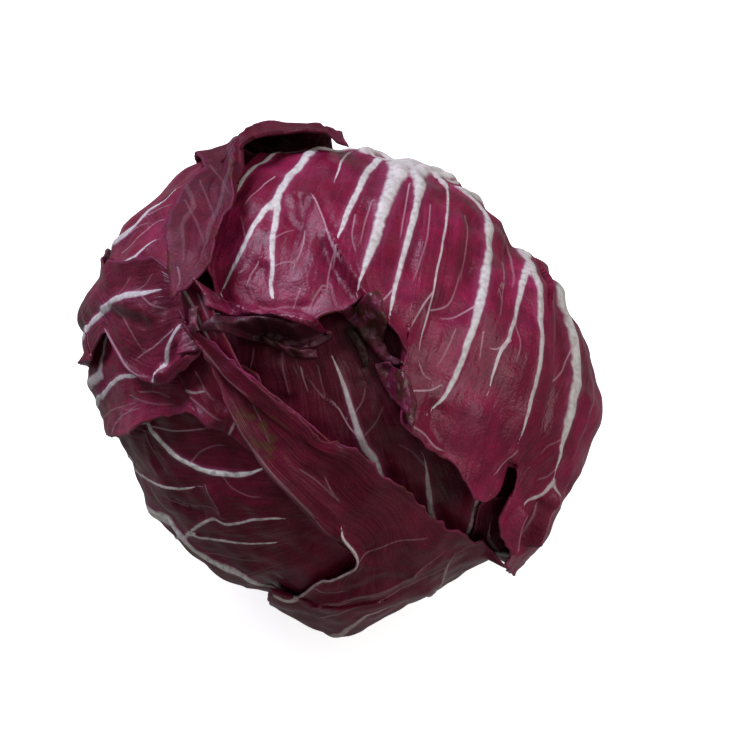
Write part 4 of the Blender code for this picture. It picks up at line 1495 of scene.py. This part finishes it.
# %% [markdown]
# ## The folded leaf
#
# The outermost leaf is folded over the top left, and looks darker and duller than the others.
# Its ribs are raised but hardly paler than its blade. It gets the finer grid too.

# %% leaf_over_left
leaf_over_left = Leaf(
    node="leaf_over_left",
    finish="dusky_leaf",
    left=Edge(((98, FOOT_FALL), (93, 110), (92, 86), (92, 66)), ((348, 150), (342, 138))),
    right=Edge(((136, FOOT_FALL), (129, 112), (125, 92), (124, 80)), (
        (203, 163), (192, 178), (180, 195), (171, 210), (167, 224), (167, 241), (168, 268), (170, 288),
        (172, 298),
    )),
    rim=Edge((), (
        (342, 138), (334, 131), (321, 124), (300, 123), (281, 127), (262, 132), (246, 138), (239, 143),
        (236, 152), (237, 171), (233, 184), (234, 204), (222, 219), (218, 234), (211, 249), (207, 264),
        (198, 277), (190, 286), (179, 292), (172, 298),
    )),
    ribs=(
        Rib(6.0, 1.6, 0.5, ((116, FOOT_FALL), (114, 110), (113, 80)), (
            (230, 150), (224, 180), (214, 215), (200, 250), (188, 276),
        ), 0.06),
        Rib(4.0, 1.0, 0.5, ((130, FOOT_FALL), (130, 110), (130, 84)), (
            (188, 190), (184, 222), (182, 250), (178, 275),
        ), 0.06),
    ),
    veins=(
        Vein(0.12, ((200, 180), (208, 200), (214, 222))),
        Vein(0.12, ((185, 200), (196, 222), (200, 244))),
        Vein(0.12, ((210, 165), (222, 180), (230, 196))),
        Vein(0.3, ((178, 268), (180, 280), (178, 290))),
    ),
    folds=(
        Fold(0.0, 4.0, 0.6, 2.0, ((215, 170), (200, 190), (190, 215), (192, 240))),
        Fold(0.0, 4.0, -0.5, 2.0, ((205, 200), (198, 225), (190, 250), (184, 270))),
        Fold(0.0, 4.0, 0.9, 3.0, ((232, 146), (246, 138), (270, 128), (300, 122), (324, 122), (336, 128))),
    ),
    teeth=(1.3, 0.0, 0.6),
    lift=(1.3, 0.4, 0.8),
)
make_leaf(leaf_over_left, cell=FINE_CELL, seed=101)

# %% [markdown]
# ## Torn and withered bits
#
# At the gap in the middle the rim of the big leaf is torn, and its scraps have rolled up and
# browned. Each scrap is a crumpled strip that bulges between two lines of pixels.

# %% Scraps
Scrap = namedtuple("Scrap", "first second height lift", defaults=(0.2,))
SCRAP_CELL = 0.35 * MM
SCRAP_THICKNESS = 0.4 * MM
CRUMPLE = 0.35
CRUMPLE_LENGTH = 3.2
CREASE_LENGTH = 1.5


def make_scrap(name, scrap, material, seed):
    """A crumpled strip between two lines, standing `height` millimetres up between them."""
    lines = [Edge((), pixels) for pixels in (scrap.first, scrap.second)]
    long = lengths_along(marks(lines[0]))[-1] * HEAD_RADIUS
    apart = np.linalg.norm(marks(lines[0])[:, None] - marks(lines[1])[None], axis=-1)
    wide = apart.min(axis=1).max() * HEAD_RADIUS
    columns, rows = max(12, round(wide / SCRAP_CELL)), max(16, round(long / SCRAP_CELL))
    first, second = (path(rows, line) for line in lines)
    u = np.linspace(0, 1, columns)[:, None, None]
    grid = normalised(first[None] * (1 - u) + second[None] * u)
    floor = wrapped.reach(grid)
    floor = np.maximum(blurred(widened(floor, 3), 8), floor)
    arch = np.sqrt(np.clip(1 - (2 * u[..., 0] - 1) ** 2, 0, 1))
    ends = np.sin(np.linspace(0.08, math.pi - 0.08, rows))[None, :] ** 0.6
    creases = 0.5 * ripple(grid * HEAD_RADIUS, CREASE_LENGTH, seed + 1)
    rough = CRUMPLE * (ripple(grid * HEAD_RADIUS, CRUMPLE_LENGTH, seed) + creases)
    raised = scrap.lift + (scrap.height * arch + rough * (0.3 + 0.7 * arch)) * ends
    points = np.array(MIDDLE) + grid * (floor + (CLEAR + SHEET + np.maximum(raised, 0)) * MM)[..., None]
    obj = grid_object(name, points)[0]
    with_thickness(obj, SCRAP_THICKNESS)
    finish_piece(obj, material)


# The rolled scraps' pale lilac pink is partly a painted highlight on their glossy curls.
rolled = withered_material("radicchio_withered_roll", "#6A1E3C", "#48241F", "#A98090", 0.28)
frayed = withered_material("radicchio_dried_fray", "#42201F", "#2A1512", "#7A5F55", 0.7)
torn = withered_material("radicchio_torn_rim", "#5A1A33", "#3E2018", "#A87484", 0.45)
# The inner flap lies in the shade under the folded rim: its dark reds are partly its own withered colour and
# partly painted shade.
shadowed = withered_material("radicchio_inner_flap_painted_shade", "#470F24", "#380E1C", "#5E1F38", 0.5)
# The folded rim's pale lilac flecks are painted glints as well as cracks.
folded_rim = withered_material("radicchio_folded_rim", "#74183C", "#561029", "#AE8494", 0.27)

make_scrap("inner_flap", Scrap(
    ((238, 320), (262, 318), (290, 320), (316, 325), (333, 335)),
    ((243, 347), (262, 347), (278, 350), (300, 352), (317, 347), (331, 338)), 0.9,
), shadowed, 201)
make_scrap("brown_strip", Scrap(
    ((276, 343), (290, 347), (304, 350), (317, 350)),
    ((279, 350), (291, 356), (304, 359), (318, 358)), 0.9,
), torn, 203)
make_scrap("pink_curl", Scrap(
    ((239, 333), (240, 341), (243, 349)), ((246, 330), (246, 339), (248, 347)), 1.2,
), torn, 205)
make_scrap("frayed_bit", Scrap(
    ((343, 330), (350, 340), (358, 352), (364, 368)),
    ((354, 328), (360, 338), (366, 350), (370, 366)), 1.2,
), frayed, 207)
make_scrap("withered_roll_upper", Scrap(
    ((340, 314), (350, 324), (360, 338), (372, 352), (386, 366)),
    ((354, 307), (368, 316), (379, 330), (386, 346), (396, 366)), 2.0,
), rolled, 209)
make_scrap("withered_roll_lower", Scrap(
    ((374, 364), (380, 382), (391, 402), (400, 424)),
    ((388, 362), (400, 380), (407, 398), (411, 416)), 1.3,
), rolled, 211)
make_scrap("folded_rim", Scrap(
    ((222, 298), (240, 306), (262, 311), (285, 313), (306, 317), (320, 323), (331, 331)),
    ((226, 318), (240, 319), (258, 317), (281, 321), (298, 327), (314, 331), (331, 334)), 0.9,
), folded_rim, 213)

# %% [markdown]
# ## Floor and light
#
# The photograph has a white ground that the light almost burns out, a broad soft light from
# behind the head and to the left, and hardly a shadow.

# %% Stage
bpy.ops.object.select_all(action="DESELECT")
bpy.ops.mesh.primitive_plane_add(size=6, location=(0, 0, 0))
floor = bpy.context.object
floor.name = "floor"
paper = Recipe("white_paper")
paper.feed(Base_Color="#F0F0F0", Roughness=0.95, Emission_Color="#FFFFFF", Emission_Strength=0.7)
floor.data.materials.append(paper.material)
# The photograph's ground is brighter than any paper, but the head doesn't glow from it: the
# paper is bright to look at, and lights nothing.
floor.visible_diffuse = False
floor.visible_glossy = False


def area_light(name, place, size, power, colour):
    light = bpy.data.lights.new(name, "AREA")
    light.energy = power
    light.shape = "DISK"
    light.size = size
    light.color = linear(colour)[:3]
    lamp = bpy.data.objects.new(name, light)
    bpy.context.scene.collection.objects.link(lamp)
    lamp.location = place
    lamp.rotation_euler = (MIDDLE - Vector(place)).to_track_quat("-Z", "Y").to_euler()


area_light("window", (-0.55, 0.75, 0.75), 0.7, 15.0, "#EBE5FF")
area_light("ceiling", (0.8, 0.05, 0.9), 0.8, 6.5, "#FFF8F8")
area_light("fill", (0.5, -1.2, 0.35), 1.0, 1.6, "#FFF9F6")

DARKEST_HEIGHT = 0.1
ROOM_DARKEST = 0.08
ROOM_BRIGHTEST = 0.30
world = bpy.data.worlds.new("studio")
bpy.context.scene.world = world
world.use_nodes = True
background = world.node_tree.nodes["Background"]
background.inputs["Color"].default_value = linear("#FFFFFF")
sky_way = add_node(world.node_tree, "TexCoord").outputs["Generated"]
height = add_node(world.node_tree, "SeparateXYZ", {0: sky_way}).outputs["Z"]
# The room is brightest overhead and, off the white ground, below: the rims of the head shine a
# little from there. It is darkest just above the ground's far edge.
from_dark = add_node(world.node_tree, "Math", {0: height, 1: DARKEST_HEIGHT}, operation="SUBTRACT").outputs[0]
from_dark = add_node(world.node_tree, "Math", {0: from_dark}, operation="ABSOLUTE").outputs[0]
inputs = {
    "Value": from_dark, "From Min": 0.0, "From Max": 0.9,
    "To Min": ROOM_DARKEST, "To Max": ROOM_BRIGHTEST,
}
strength = add_node(world.node_tree, "MapRange", inputs).outputs["Result"]
world.node_tree.links.new(strength, background.inputs["Strength"])
bpy.context.scene.view_settings.view_transform = "Standard"
